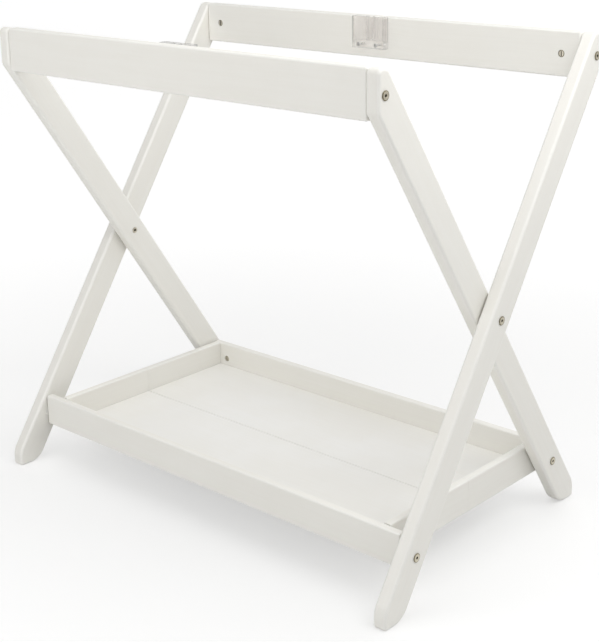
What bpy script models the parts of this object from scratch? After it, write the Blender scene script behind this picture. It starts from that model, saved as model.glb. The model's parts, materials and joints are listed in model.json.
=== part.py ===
"""Folding wooden bassinet stand: two crossing leg frames, two clear rail sockets and a folding shelf.

Metres, +Z up. X runs along the rails, Y runs from the front rail to the back rail, and the feet
stand on Z = 0. The outer legs run from the front feet to the back rail, the inner legs from the
back feet to the front rail. The shelf is in two halves, hinged together on its underside.
"""
import math

import bmesh
import bpy
from mathutils import Matrix, Vector

# driving dimensions
LENGTH = 0.800          # over the outer faces of the outer legs
HEIGHT = 0.731          # floor to the tops of legs and rails
TOP_HALF = 0.235        # middle plane to the upright cut at a leg's top
TOP_FLAT = 0.01715      # level width of a leg's top
FOOT_HALF = 0.2515      # middle plane to the upright cut at a foot
FOOT_FLAT = 0.0383      # level width of a foot
LEG_WIDTH = 0.0455
LEG_THICK = 0.0215
LEG_GAP = 0.0025        # between an outer and an inner leg, filled by the crossing washer
LEG_ROUND = 0.0045      # round-over of the legs' long edges
END_CORNER = 0.0080     # rounding of a leg's square corners
END_EASE = 0.0120       # rounding of a leg's blunt corners

RAIL_HIGH = 0.0663
RAIL_THICK = 0.0180
RAIL_BACK_SET = 0.0020  # rail face behind the legs' upright cut
RAIL_ROUND = 0.0030

PIVOT_Z = 0.08167       # height of the bolts that carry the shelf
PIVOT_RISE = 0.0225     # those bolts over the underside of the shelf's boards
BOARD_HIGH = 0.0505
BOARD_THICK = 0.0125
BOARD_ROUND = 0.0025
BOARD_RUN = 0.0020      # between a leg and the end of the board that it carries
END_BOARD_RUN = 0.0035  # between an inner leg and the shelf's end board
END_BOARD_GAP = 0.0015  # between an end board and the long board that it meets
SEAM = 0.0010           # gap between the two shelf halves
PANEL_THICK = 0.0050
PANEL_RISE = 0.0100     # top of the floor panel over the underside of the boards
PANEL_IN_GROOVE = 0.0040
PANEL_STEP = 0.0012     # the panel's edges are cut down by this to a tongue in the grooves
BATTEN_WIDE = 0.0240

BOLT_R = 0.0030
BOLT_HEAD_R = 0.0064
BOLT_HEAD_HIGH = 0.0012
BOLT_HEAD_EASE = 0.0005
BOLT_TIP_EASE = 0.0008
BOLT_KEY_R = 0.0024     # across the corners of the six-sided socket
BOLT_KEY_DEEP = 0.0014
BOLT_REACH = 0.0400     # from a leg's inner face to the end of the bore in its rail
BORE_SPARE = 0.0015     # bore past a bolt's tip
BARREL_R = 0.0050
BARREL_LONG = 0.0150    # in a rail
BARREL_SHORT = 0.0108   # in a shelf board
BARREL_SLOT_WIDE = 0.0016
BARREL_SLOT_DEEP = 0.0011
BARREL_INSET = 0.0310   # barrel nut behind the inner face of the leg
SHELF_NUT_IN = 0.0165   # shelf's barrel nut inside its end board
SHELF_BOLT_PAST = 0.0030
DOWEL_R = 0.0040
DOWEL_LONG = 0.0300
DOWEL_IN_LEG = 0.0100
DOWEL_SPARE = 0.0005    # bore past a dowel's end
DOWEL_DROP = 0.0210     # dowel under the bolt
SLEEVE_R = 0.0041
SLEEVE_HEAD_R = 0.0049
SLEEVE_HEAD_HIGH = 0.0008
SLEEVE_HEAD_EASE = 0.0004
SLEEVE_KEY_R = 0.0027
SLEEVE_KEY_DEEP = 0.0018
SLEEVE_FLOOR = 0.0030   # closed end of the sleeve's bore, from the leg's inner face
SLEEVE_SHORT = 0.0008   # sleeve's open end inside the leg's outer face
CROSS_BOLT_SHORT = 0.0040
WASHER_R = 0.0100
SPACER_R = 0.0085

SOCKET_WIDE = 0.0640
SOCKET_HIGH = 0.0510
SOCKET_DEEP = 0.0140
SOCKET_WALL = 0.0022
SOCKET_SILL = 0.0130    # solid bar across the socket's bottom
GUIDE_WIDE = 0.0020
GUIDE_DEEP = 0.0040
GUIDE_AT = 0.0065
SOCKET_ROUND = 0.0010
SOCKET_SCREW_IN = 0.0145    # screw from the socket's end
SOCKET_SCREW_LONG = 0.0226
SOCKET_SCREW_REACH = 0.0120  # bore in the rail
SCREW_HEAD_R = 0.0034
SCREW_HEAD_HIGH = 0.0010
SCREW_CROSS_LONG = 0.0036
SCREW_CROSS_WIDE = 0.0007
SCREW_CROSS_DEEP = 0.0006

HINGE_DROP = 0.0025     # hinge axis under the boards' underside
HINGE_IN = 0.1185       # hinge's middle from the end board's inner face
LEAF_LONG = 0.0380
LEAF_WIDE = 0.0190
LEAF_THICK = 0.0012
LEAF_TAB = 0.0010       # leaf's reach under its knuckles
KNUCKLE_R = 0.0024
KNUCKLE_RUN = 0.0008    # knuckle to the edge of the plate
HINGE_PIN_R = 0.0011
KNUCKLE_SPLIT = 0.0065
HINGE_SCREW_AT = 0.0120
HINGE_SCREW_APART = 0.0228
SCREW_R = 0.0013

TOUCH = 0.0003          # gap between pieces that rest on each other
RUN = 0.0003            # radial clearance of a pin in its hole
OVER = 0.0100           # how far a cutter stands out of what it cuts
STEPS = 20              # sides of a round piece

# positions that follow from them
OUTER_OUT = LENGTH / 2
OUTER_IN = OUTER_OUT - LEG_THICK
INNER_OUT = OUTER_IN - LEG_GAP
INNER_IN = INNER_OUT - LEG_THICK
RAIL_FACE = TOP_HALF - RAIL_BACK_SET
RAIL_MID = RAIL_FACE - RAIL_THICK / 2
RAIL_INSIDE = RAIL_FACE - RAIL_THICK
RAIL_Z = HEIGHT - RAIL_HIGH / 2
LEG_SPREAD = TOP_HALF - TOP_FLAT + FOOT_HALF - FOOT_FLAT
LEG_LEAN = math.atan2(LEG_SPREAD, HEIGHT) + math.asin(LEG_WIDTH / math.hypot(LEG_SPREAD, HEIGHT))
LEG_LEVEL_HALF = LEG_WIDTH / 2 / math.cos(LEG_LEAN)
TOP_EASE = min(END_EASE, (TOP_FLAT - END_CORNER - LEG_ROUND / 3) * math.tan(math.pi / 4 + LEG_LEAN / 2))
CROSS_Z = (FOOT_HALF - FOOT_FLAT + LEG_LEVEL_HALF) / math.tan(LEG_LEAN)
PIVOT_Y = (CROSS_Z - PIVOT_Z) * math.tan(LEG_LEAN)
SHELF_BASE = PIVOT_Z - PIVOT_RISE
SHELF_TOP = SHELF_BASE + BOARD_HIGH
PANEL_TOP = SHELF_BASE + PANEL_RISE
BOARD_OUT = PIVOT_Y + BOARD_THICK / 2
BOARD_IN = PIVOT_Y - BOARD_THICK / 2
END_BOARD_OUT = INNER_IN - END_BOARD_RUN
END_BOARD_IN = END_BOARD_OUT - BOARD_THICK
FRONT_BOARD_HALF = OUTER_IN - BOARD_RUN
BACK_BOARD_HALF = INNER_IN - BOARD_RUN
SHELF_NUT_X = END_BOARD_IN - SHELF_NUT_IN
SHELF_BOLT_END = SHELF_NUT_X - BARREL_R - SHELF_BOLT_PAST
SHELF_BATTEN_TOP = PANEL_TOP - PANEL_THICK - TOUCH
HINGE_AXIS_Z = SHELF_BASE - HINGE_DROP
HINGE_AT = END_BOARD_IN - HINGE_IN
SOCKET_SCREW_AT = SOCKET_WIDE / 2 - SOCKET_SCREW_IN
SOCKET_SCREW_Z = HEIGHT - SOCKET_HIGH + SOCKET_SILL / 2

SIDES = (("left", -1), ("right", 1))

PAINT = ("painted_wood", (0.86, 0.84, 0.79, 1), 0.42, 0.0)
RAW = ("beech", (0.62, 0.44, 0.26, 1), 0.6, 0.0)
BRASS = ("antique_brass", (0.30, 0.24, 0.15, 1), 0.36, 1.0)
ZINC = ("zinc_plated_steel", (0.62, 0.61, 0.58, 1), 0.38, 1.0)
CLEAR = ("clear_plastic", (0.86, 0.83, 0.82, 1), 0.12, 0.0)
NYLON = ("white_nylon", (0.80, 0.79, 0.76, 1), 0.5, 0.0)


def clear_scene():
    for obj in list(bpy.data.objects):
        bpy.data.objects.remove(obj, do_unlink=True)


def make_collection(name):
    coll = bpy.data.collections.get(name) or bpy.data.collections.new(name)
    if coll.name not in bpy.context.scene.collection.children:
        bpy.context.scene.collection.children.link(coll)
    return coll


clear_scene()
STAND = make_collection("bassinet_stand")
CUTTERS = make_collection("cutters")


def finish_material(look):
    name, colour, roughness, metallic = look
    mat = bpy.data.materials.get(name)
    if mat:
        return mat
    mat = bpy.data.materials.new(name)
    mat.use_nodes = True
    shader = mat.node_tree.nodes["Principled BSDF"]
    shader.inputs["Base Color"].default_value = colour
    shader.inputs["Roughness"].default_value = roughness
    shader.inputs["Metallic"].default_value = metallic
    if look is CLEAR:
        shader.inputs["Transmission Weight"].default_value = 0.8
    return mat


def pivot(name, y, z, parent=None):
    """An empty on a joint's axis, which runs along X."""
    empty = bpy.data.objects.new(name, None)
    empty.empty_display_size = 0.04
    STAND.objects.link(empty)
    empty.location = (0, y, z)
    if parent:
        empty.parent = parent
        empty.location = (0, y - parent["at"][0], z - parent["at"][1])
    empty["at"] = (y, z)
    return empty


def piece(name, mesh, at, frame, look):
    """A named piece at a world position, carried by its frame's empty."""
    obj = bpy.data.objects.new(name, mesh)
    STAND.objects.link(obj)
    obj.parent = frame
    obj.location = Vector(at) - Vector((0, frame["at"][0], frame["at"][1]))
    mesh.materials.append(finish_material(look))
    return obj


def helper(name, mesh, at):
    """A cutter or a joining guide: shown as wire, never rendered, not a part."""
    obj = bpy.data.objects.new(name, mesh)
    CUTTERS.objects.link(obj)
    obj.location = at
    obj.hide_render = True
    obj.display_type = "WIRE"
    return obj


def box_mesh(name, size):
    bm = bmesh.new()
    bmesh.ops.create_cube(bm, size=1.0)
    bmesh.ops.scale(bm, vec=size, verts=bm.verts)
    mesh = bpy.data.meshes.new(name)
    bm.to_mesh(mesh)
    bm.free()
    return mesh


AXIS_TURN = {"X": Matrix.Rotation(math.pi / 2, 4, "Y"), "Y": Matrix.Rotation(math.pi / 2, 4, "X"), "Z": Matrix()}


def rod_mesh(name, radius, length, axis, sides=STEPS):
    bm = bmesh.new()
    bmesh.ops.create_cone(bm, cap_ends=True, segments=sides, radius1=radius, radius2=radius, depth=length)
    bmesh.ops.transform(bm, matrix=AXIS_TURN[axis], verts=bm.verts)
    mesh = bpy.data.meshes.new(name)
    bm.to_mesh(mesh)
    bm.free()
    return mesh


def cut(obj, cutter, operation="DIFFERENCE"):
    mod = obj.modifiers.new(f"{operation.lower()}_{cutter.name}", "BOOLEAN")
    mod.operation = operation
    mod.solver = "EXACT"
    mod.object = cutter
    return mod


def hole(obj, name, radius, start, end, axis="X", y=0.0, z=0.0, x=0.0, sides=STEPS):
    """Drills obj along an axis from start to end, through the point given by the other two."""
    mid = (start + end) / 2
    at = {"X": (mid, y, z), "Y": (x, mid, z), "Z": (x, y, mid)}[axis]
    return cut(obj, helper(name, rod_mesh(name, radius, abs(end - start), axis, sides), at))


def pocket(obj, name, low, high):
    size = [b - a for a, b in zip(low, high)]
    mid = [(a + b) / 2 for a, b in zip(low, high)]
    return cut(obj, helper(name, box_mesh(name, size), mid))


def round_edges(obj, width, segments=2, angle=40):
    mod = obj.modifiers.new("round_over", "BEVEL")
    mod.width = width
    mod.segments = segments
    mod.limit_method = "ANGLE"
    mod.angle_limit = math.radians(angle)
    mod.use_clamp_overlap = False
    return mod


def box_piece(name, low, high, frame, look, rounding=0.0, segments=2):
    size = [b - a for a, b in zip(low, high)]
    mid = [(a + b) / 2 for a, b in zip(low, high)]
    obj = piece(name, box_mesh(name, size), mid, frame, look)
    if rounding:
        round_edges(obj, rounding, segments)
    return obj


def turned(name, profile, y, z, frame, look, hand=1, closed=False):
    """Turns a profile of (x, radius) points round an X axis through (y, z); hand -1 mirrors it."""
    mesh = bpy.data.meshes.new(name)
    points = [(hand * x, 0.0, r) for x, r in profile][::hand]
    edges = [(i, i + 1) for i in range(len(points) - 1)]
    if closed:
        edges.append((len(points) - 1, 0))
    mesh.from_pydata(points, edges, [])
    obj = piece(name, mesh, (0, y, z), frame, look)
    mod = obj.modifiers.new("turned", "SCREW")
    mod.axis = "X"
    mod.angle = math.tau
    mod.steps = STEPS
    mod.render_steps = STEPS
    mod.use_merge_vertices = True
    mod.merge_threshold = 0.00001
    mod.use_smooth_shade = True
    return obj


def arc_corner(before, corner, after, radius, steps):
    """Points of the rounding of one outline corner."""
    corner = Vector(corner)
    a = (Vector(before) - corner).normalized()
    b = (Vector(after) - corner).normalized()
    half = a.angle(b) / 2
    reach = radius / math.tan(half)
    centre = corner + (a + b).normalized() * (radius / math.sin(half))
    start = corner + a * reach - centre
    turn = math.pi - 2 * half
    sign = 1 if start.x * (corner - centre).y - start.y * (corner - centre).x > 0 else -1
    points = []
    for i in range(steps + 1):
        t = sign * turn * i / steps
        points.append(centre + Vector((start.x * math.cos(t) - start.y * math.sin(t),
                                       start.x * math.sin(t) + start.y * math.cos(t))))
    return points


def leg_outline(to_back):
    """Side outline of a leg in (y, z). to_back is +1 for the outer legs, whose tops are at the back."""
    slope = math.tan(LEG_LEAN)
    z_top_cut = CROSS_Z + (TOP_HALF - LEG_LEVEL_HALF) / slope
    z_foot_cut = CROSS_Z + (LEG_LEVEL_HALF - FOOT_HALF) / slope
    corners = [
        ((-FOOT_HALF, 0.0), END_CORNER), ((FOOT_FLAT - FOOT_HALF, 0.0), END_EASE),
        ((TOP_HALF, z_top_cut), END_EASE), ((TOP_HALF, HEIGHT), END_CORNER),
        ((TOP_HALF - TOP_FLAT, HEIGHT), TOP_EASE), ((-FOOT_HALF, z_foot_cut), END_EASE),
    ]
    outline = []
    for i, (corner, radius) in enumerate(corners):
        before = corners[i - 1][0]
        after = corners[(i + 1) % len(corners)][0]
        outline += arc_corner(before, corner, after, radius, 4)
    return [(p.x * to_back, p.y) for p in outline]


def leg(name, x_mid, to_back, frame):
    """A straight board from foot to top, both ends cut level and upright, long edges rounded."""
    bm = bmesh.new()
    ring = [bm.verts.new((-LEG_THICK / 2, y - frame["at"][0], z - frame["at"][1]))
            for y, z in leg_outline(to_back)]
    side = bm.faces.new(ring)
    swept = bmesh.ops.extrude_face_region(bm, geom=[side])
    far = [item for item in swept["geom"] if isinstance(item, bmesh.types.BMVert)]
    bmesh.ops.translate(bm, vec=(LEG_THICK, 0, 0), verts=far)
    bmesh.ops.recalc_face_normals(bm, faces=bm.faces)
    mesh = bpy.data.meshes.new(name)
    bm.to_mesh(mesh)
    bm.free()
    obj = piece(name, mesh, (x_mid, frame["at"][0], frame["at"][1]), frame, PAINT)
    round_edges(obj, LEG_ROUND, 3)
    return obj


def frame_bolt_profile(face, end):
    """Flat-headed connector bolt: its head stands on the face at x = face, its tip is at x = end."""
    under = face + TOUCH
    top = under + BOLT_HEAD_HIGH
    return [(top, 0.0), (top, BOLT_HEAD_R - BOLT_HEAD_EASE), (top - BOLT_HEAD_EASE, BOLT_HEAD_R),
            (under, BOLT_HEAD_R), (under, BOLT_R), (end + BOLT_TIP_EASE, BOLT_R),
            (end, BOLT_R - BOLT_TIP_EASE), (end, 0.0)]


def frame_bolts(name, face, end, y, z, frame):
    for side, hand in SIDES:
        tag = f"{name}_{side}"
        obj = turned(tag, frame_bolt_profile(face, end), y, z, frame, BRASS, hand)
        top = hand * (face + TOUCH + BOLT_HEAD_HIGH)
        key = rod_mesh(tag + "_key", BOLT_KEY_R, 2 * BOLT_KEY_DEEP, "X", 6)
        cut(obj, helper(tag + "_key", key, (top, y, z)))


def barrel_nuts(name, x, y_face, inward, length, y_bolt, z, frame):
    """Cross dowels with a slotted end at a board's inner face; inward is the face's Y direction."""
    y_mid = y_face - inward * (length / 2 + TOUCH)
    slot_y = y_face - inward * TOUCH
    for side, hand in SIDES:
        tag = f"{name}_{side}"
        obj = piece(tag, rod_mesh(tag, BARREL_R, length, "Y"), (hand * x, y_mid, z), frame, BRASS)
        reach = BARREL_R + OVER
        hole(obj, tag + "_thread", BOLT_R + RUN, hand * x - reach, hand * x + reach, "X", y_bolt, z, sides=16)
        pocket(obj, tag + "_slot", (hand * x - BARREL_SLOT_WIDE / 2, slot_y - BARREL_SLOT_DEEP, z - reach),
               (hand * x + BARREL_SLOT_WIDE / 2, slot_y + BARREL_SLOT_DEEP, z + reach))


def dowels(name, leg_face, y, z, frame):
    """Wooden dowels across the joint between a leg's inner face and its rail's end."""
    middle = leg_face + DOWEL_IN_LEG - DOWEL_LONG / 2
    for side, hand in SIDES:
        tag = f"{name}_{side}"
        mesh = rod_mesh(tag, DOWEL_R, DOWEL_LONG - 2 * TOUCH, "X", 16)
        piece(tag, mesh, (hand * middle, y, z), frame, RAW)


def rail(name, half, side, leg_face, frame):
    """A top rail; side is -1 for the front rail and +1 for the back rail."""
    low_y, high_y = sorted((side * RAIL_INSIDE, side * RAIL_FACE))
    obj = box_piece(name, (-half, low_y, HEIGHT - RAIL_HIGH), (half, high_y, HEIGHT), frame, PAINT, RAIL_ROUND, 3)
    y_mid = side * RAIL_MID
    face = side * RAIL_INSIDE
    nut_x = leg_face - BARREL_INSET
    for hand in (-1, 1):
        tag = f"{name}_{'l' if hand < 0 else 'r'}"
        hole(obj, tag + "_bolt_bore", BOLT_R + RUN, hand * (leg_face - BOLT_REACH), hand * (half + OVER), "X",
             y_mid, RAIL_Z, sides=16)
        hole(obj, tag + "_nut_bore", BARREL_R + RUN, face - side * OVER, face + side * (BARREL_LONG + 2 * TOUCH),
             "Y", z=RAIL_Z, x=hand * nut_x)
        hole(obj, tag + "_dowel_bore", DOWEL_R + RUN, hand * (leg_face - DOWEL_LONG + DOWEL_IN_LEG - DOWEL_SPARE),
             hand * (half + OVER), "X", y_mid, RAIL_Z - DOWEL_DROP, sides=16)
        hole(obj, tag + "_socket_screw_bore", SCREW_R + RUN, face - side * OVER, face + side * SOCKET_SCREW_REACH,
             "Y", z=SOCKET_SCREW_Z, x=hand * SOCKET_SCREW_AT, sides=12)
    return obj


def socket(name, side, frame):
    """Clear moulded socket on a rail's inner face, open at the top, with two upright guides."""
    back = side * (RAIL_INSIDE - TOUCH)
    front = side * (RAIL_INSIDE - TOUCH - SOCKET_DEEP)
    low_y, high_y = sorted((back, front))
    base = HEIGHT - SOCKET_HIGH
    half = SOCKET_WIDE / 2
    obj = box_piece(name, (-half, low_y, base), (half, high_y, HEIGHT), frame, CLEAR, SOCKET_ROUND, 2)
    floor = base + SOCKET_SILL
    inner_front = front + side * SOCKET_WALL
    inner_back = back - side * SOCKET_WALL
    guide_front = inner_back - side * GUIDE_DEEP
    reach = half - SOCKET_WALL
    y0, y1 = sorted((inner_front, guide_front))
    pocket(obj, name + "_pocket", (-reach, y0, floor), (reach, y1, HEIGHT + OVER))
    y0, y1 = sorted((guide_front - side * TOUCH, inner_back))
    edge = GUIDE_AT - GUIDE_WIDE / 2
    pocket(obj, name + "_channel", (-edge, y0, floor), (edge, y1, HEIGHT + OVER))
    for hand in (-1, 1):
        x0, x1 = sorted((hand * (GUIDE_AT + GUIDE_WIDE / 2), hand * reach))
        pocket(obj, f"{name}_cell_{hand + 1}", (x0, y0, floor), (x1, y1, HEIGHT + OVER))
        hole(obj, f"{name}_screw_bore_{hand + 1}", SCREW_R + RUN, front - side * OVER, back + side * OVER, "Y",
             z=SOCKET_SCREW_Z, x=hand * SOCKET_SCREW_AT, sides=12)
    return obj


def washers(name, x0, x1, bore, radius, y, z, frame, look):
    profile = [(x1, bore), (x1, radius), (x0, radius), (x0, bore)]
    for side, hand in SIDES:
        turned(f"{name}_{side}", profile, y, z, frame, look, hand, closed=True)


def panel_groove(obj, half):
    """Room for the floor panel's edge in a board; half is -1 for the front half, +1 for the back."""
    y0, y1 = sorted((-half * OVER, half * (BOARD_IN + PANEL_IN_GROOVE + TOUCH)))
    reach = END_BOARD_IN + PANEL_IN_GROOVE + TOUCH
    pocket(obj, obj.name + "_groove", (-reach, y0, PANEL_TOP - PANEL_THICK - TOUCH),
           (reach, y1, PANEL_TOP - PANEL_STEP + TOUCH))


def long_board(name, half_length, half, frame):
    """The shelf's front or back board, bored at both ends for its pivot bolts."""
    y0, y1 = sorted((half * BOARD_IN, half * BOARD_OUT))
    obj = box_piece(name, (-half_length, y0, SHELF_BASE), (half_length, y1, SHELF_TOP), frame, PAINT,
                    BOARD_ROUND, 3)
    panel_groove(obj, half)
    for hand in (-1, 1):
        tag = f"{name}_{'l' if hand < 0 else 'r'}"
        hole(obj, tag + "_bolt_bore", BOLT_R + RUN, hand * (SHELF_BOLT_END - BORE_SPARE),
             hand * (half_length + OVER), "X", half * PIVOT_Y, PIVOT_Z, sides=16)
        hole(obj, tag + "_nut_bore", BARREL_R + RUN, half * (BOARD_IN - OVER),
             half * (BOARD_IN + BARREL_SHORT + 2 * TOUCH), "Y", z=PIVOT_Z, x=hand * SHELF_NUT_X)
    return obj


def end_board(name, hand, half, frame):
    x0, x1 = sorted((hand * END_BOARD_IN, hand * END_BOARD_OUT))
    y0, y1 = sorted((half * SEAM / 2, half * (BOARD_IN - END_BOARD_GAP)))
    obj = box_piece(name, (x0, y0, SHELF_BASE), (x1, y1, SHELF_TOP), frame, PAINT, BOARD_ROUND, 3)
    panel_groove(obj, half)
    return obj


def floor_panel(name, half, frame):
    """One half of the shelf's floor: a raised field with tongues on the three edges in the grooves."""
    y0, y1 = sorted((half * SEAM / 2, half * (BOARD_IN + PANEL_IN_GROOVE)))
    reach = END_BOARD_IN + PANEL_IN_GROOVE
    obj = box_piece(name, (-reach, y0, PANEL_TOP - PANEL_THICK), (reach, y1, PANEL_TOP - PANEL_STEP), frame, PAINT)
    field_x = END_BOARD_IN - TOUCH
    field_y = half * (BOARD_IN - TOUCH) - (y0 + y1) / 2
    bm = bmesh.new()
    bm.from_mesh(obj.data)
    for co, across in (((field_x, 0, 0), (1, 0, 0)), ((-field_x, 0, 0), (1, 0, 0)), ((0, field_y, 0), (0, 1, 0))):
        bmesh.ops.bisect_plane(bm, geom=bm.verts[:] + bm.edges[:] + bm.faces[:], plane_co=co, plane_no=across)
    field = []
    for face in bm.faces:
        middle = face.calc_center_median()
        if face.normal.z > 0.5 and abs(middle.x) < field_x and half * (middle.y - field_y) < 0:
            field.append(face)
    raised = bmesh.ops.extrude_face_region(bm, geom=field)
    lifted = [item for item in raised["geom"] if isinstance(item, bmesh.types.BMVert)]
    bmesh.ops.translate(bm, vec=(0, 0, PANEL_STEP), verts=lifted)
    bmesh.ops.delete(bm, geom=field, context="FACES_ONLY")
    bmesh.ops.recalc_face_normals(bm, faces=bm.faces)
    bm.to_mesh(obj.data)
    bm.free()
    return obj


def batten(name, half, frame):
    """Bar under the floor panel beside the seam, which the hinges are screwed to."""
    y0, y1 = sorted((half * SEAM / 2, half * (SEAM / 2 + BATTEN_WIDE)))
    reach = END_BOARD_IN - TOUCH
    return box_piece(name, (-reach, y0, SHELF_BASE), (reach, y1, SHELF_BATTEN_TOP), frame, PAINT)


def hinge_leaf(name, x, half, outer_knuckles, frame):
    """One leaf of a butt hinge under the seam, with two knuckles or with the single middle one."""
    top = SHELF_BASE - TOUCH
    plate_start = KNUCKLE_R + KNUCKLE_RUN
    y0, y1 = sorted((half * plate_start, half * LEAF_WIDE))
    obj = box_piece(name, (x - LEAF_LONG / 2, y0, top - LEAF_THICK), (x + LEAF_LONG / 2, y1, top), frame, ZINC)
    split = KNUCKLE_SPLIT
    if outer_knuckles:
        spans = [(-LEAF_LONG / 2, -split - TOUCH / 2), (split + TOUCH / 2, LEAF_LONG / 2)]
    else:
        spans = [(-split + TOUCH / 2, split - TOUCH / 2)]
    for i, (a, b) in enumerate(spans):
        mid = x + (a + b) / 2
        tab_name = f"{name}_tab_{i}"
        tab = helper(tab_name, box_mesh(tab_name, (b - a, plate_start + LEAF_TAB, LEAF_THICK)),
                     (mid, half * (plate_start + LEAF_TAB) / 2, top - LEAF_THICK / 2))
        cut(obj, tab, "UNION")
        knuckle_name = f"{name}_knuckle_{i}"
        knuckle = helper(knuckle_name, rod_mesh(knuckle_name, KNUCKLE_R, b - a, "X"), (mid, 0, HINGE_AXIS_Z))
        cut(obj, knuckle, "UNION")
    reach = LEAF_LONG / 2 + OVER
    hole(obj, name + "_pin_bore", HINGE_PIN_R + RUN, x - reach, x + reach, "X", 0.0, HINGE_AXIS_Z, sides=16)
    for step in (-1, 1):
        hole(obj, f"{name}_screw_bore_{step + 1}", SCREW_R + RUN, top - OVER, top + OVER, "Z",
             y=half * HINGE_SCREW_AT, x=x + step * HINGE_SCREW_APART / 2, sides=12)
    return obj


def sleeve_nuts(name, frame):
    """Flanged sleeves through the inner legs, which the crossing bolts screw into."""
    head = INNER_IN - TOUCH - SLEEVE_HEAD_HIGH
    under = INNER_IN - TOUCH
    tip = INNER_OUT - SLEEVE_SHORT
    floor = INNER_IN + SLEEVE_FLOOR
    profile = [(floor, 0.0), (floor, BOLT_R + RUN), (tip, BOLT_R + RUN), (tip, SLEEVE_R), (under, SLEEVE_R),
               (under, SLEEVE_HEAD_R), (head + SLEEVE_HEAD_EASE, SLEEVE_HEAD_R),
               (head, SLEEVE_HEAD_R - SLEEVE_HEAD_EASE), (head, 0.0)]
    for side, hand in SIDES:
        tag = f"{name}_{side}"
        obj = turned(tag, profile, 0.0, CROSS_Z, frame, BRASS, hand)
        key = rod_mesh(tag + "_key", SLEEVE_KEY_R, 2 * SLEEVE_KEY_DEEP, "X", 6)
        cut(obj, helper(tag + "_key", key, (hand * head, 0.0, CROSS_Z)))


def outer_frame():
    frame = pivot("outer_frame", 0.0, CROSS_Z)
    for name, hand in (("outer_leg_left", -1), ("outer_leg_right", 1)):
        obj = leg(name, hand * (OUTER_OUT - LEG_THICK / 2), 1, frame)
        through = (hand * (OUTER_IN - OVER), hand * (OUTER_OUT + OVER))
        hole(obj, name + "_top_bore", BOLT_R + RUN, *through, "X", RAIL_MID, RAIL_Z, sides=16)
        hole(obj, name + "_cross_bore", BOLT_R + RUN, *through, "X", 0.0, CROSS_Z, sides=16)
        hole(obj, name + "_foot_bore", BOLT_R + RUN, *through, "X", -PIVOT_Y, PIVOT_Z, sides=16)
        hole(obj, name + "_dowel_bore", DOWEL_R + RUN, hand * (OUTER_IN - OVER),
             hand * (OUTER_IN + DOWEL_IN_LEG + DOWEL_SPARE), "X", RAIL_MID, RAIL_Z - DOWEL_DROP, sides=16)
    rail("back_rail", OUTER_IN - TOUCH, 1, OUTER_IN, frame)
    frame_bolts("back_rail_bolt", OUTER_OUT, OUTER_IN - BOLT_REACH + BORE_SPARE, RAIL_MID, RAIL_Z, frame)
    barrel_nuts("back_rail_barrel_nut", OUTER_IN - BARREL_INSET, RAIL_INSIDE, -1, BARREL_LONG, RAIL_MID, RAIL_Z,
                frame)
    dowels("back_rail_dowel", OUTER_IN, RAIL_MID, RAIL_Z - DOWEL_DROP, frame)
    socket("back_socket", 1, frame)
    socket_screws("back_socket_screw", 1, frame)
    frame_bolts("crossing_bolt", OUTER_OUT, INNER_IN + CROSS_BOLT_SHORT, 0.0, CROSS_Z, frame)
    sleeve_nuts("crossing_sleeve_nut", frame)
    washers("crossing_washer", INNER_OUT + TOUCH, OUTER_IN - TOUCH, BOLT_R + RUN, WASHER_R, 0.0, CROSS_Z,
            frame, NYLON)
    return frame


def socket_screws(name, rail_side, frame):
    """Pan-headed screws through a socket's sill into its rail."""
    face = RAIL_INSIDE - 2 * TOUCH - SOCKET_DEEP
    for side, hand in SIDES:
        tag = f"{name}_{side}"
        x = hand * SOCKET_SCREW_AT
        head = rod_mesh(tag, SCREW_HEAD_R, SCREW_HEAD_HIGH, "Y", 16)
        obj = piece(tag, head, (x, rail_side * (face - SCREW_HEAD_HIGH / 2), SOCKET_SCREW_Z), frame, ZINC)
        root = face - SCREW_HEAD_HIGH / 2
        shank = rod_mesh(tag + "_shank", SCREW_R, SOCKET_SCREW_LONG, "Y", 12)
        shank_at = (x, rail_side * (root + SOCKET_SCREW_LONG / 2), SOCKET_SCREW_Z)
        cut(obj, helper(tag + "_shank", shank, shank_at), "UNION")
        arms = ((SCREW_CROSS_LONG, SCREW_CROSS_WIDE), (SCREW_CROSS_WIDE, SCREW_CROSS_LONG))
        for i, (wide, high) in enumerate(arms):
            slot = box_mesh(f"{tag}_cross_{i}", (wide, 2 * SCREW_CROSS_DEEP, high))
            cut(obj, helper(f"{tag}_cross_{i}", slot, (x, rail_side * (face - SCREW_HEAD_HIGH), SOCKET_SCREW_Z)))


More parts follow.
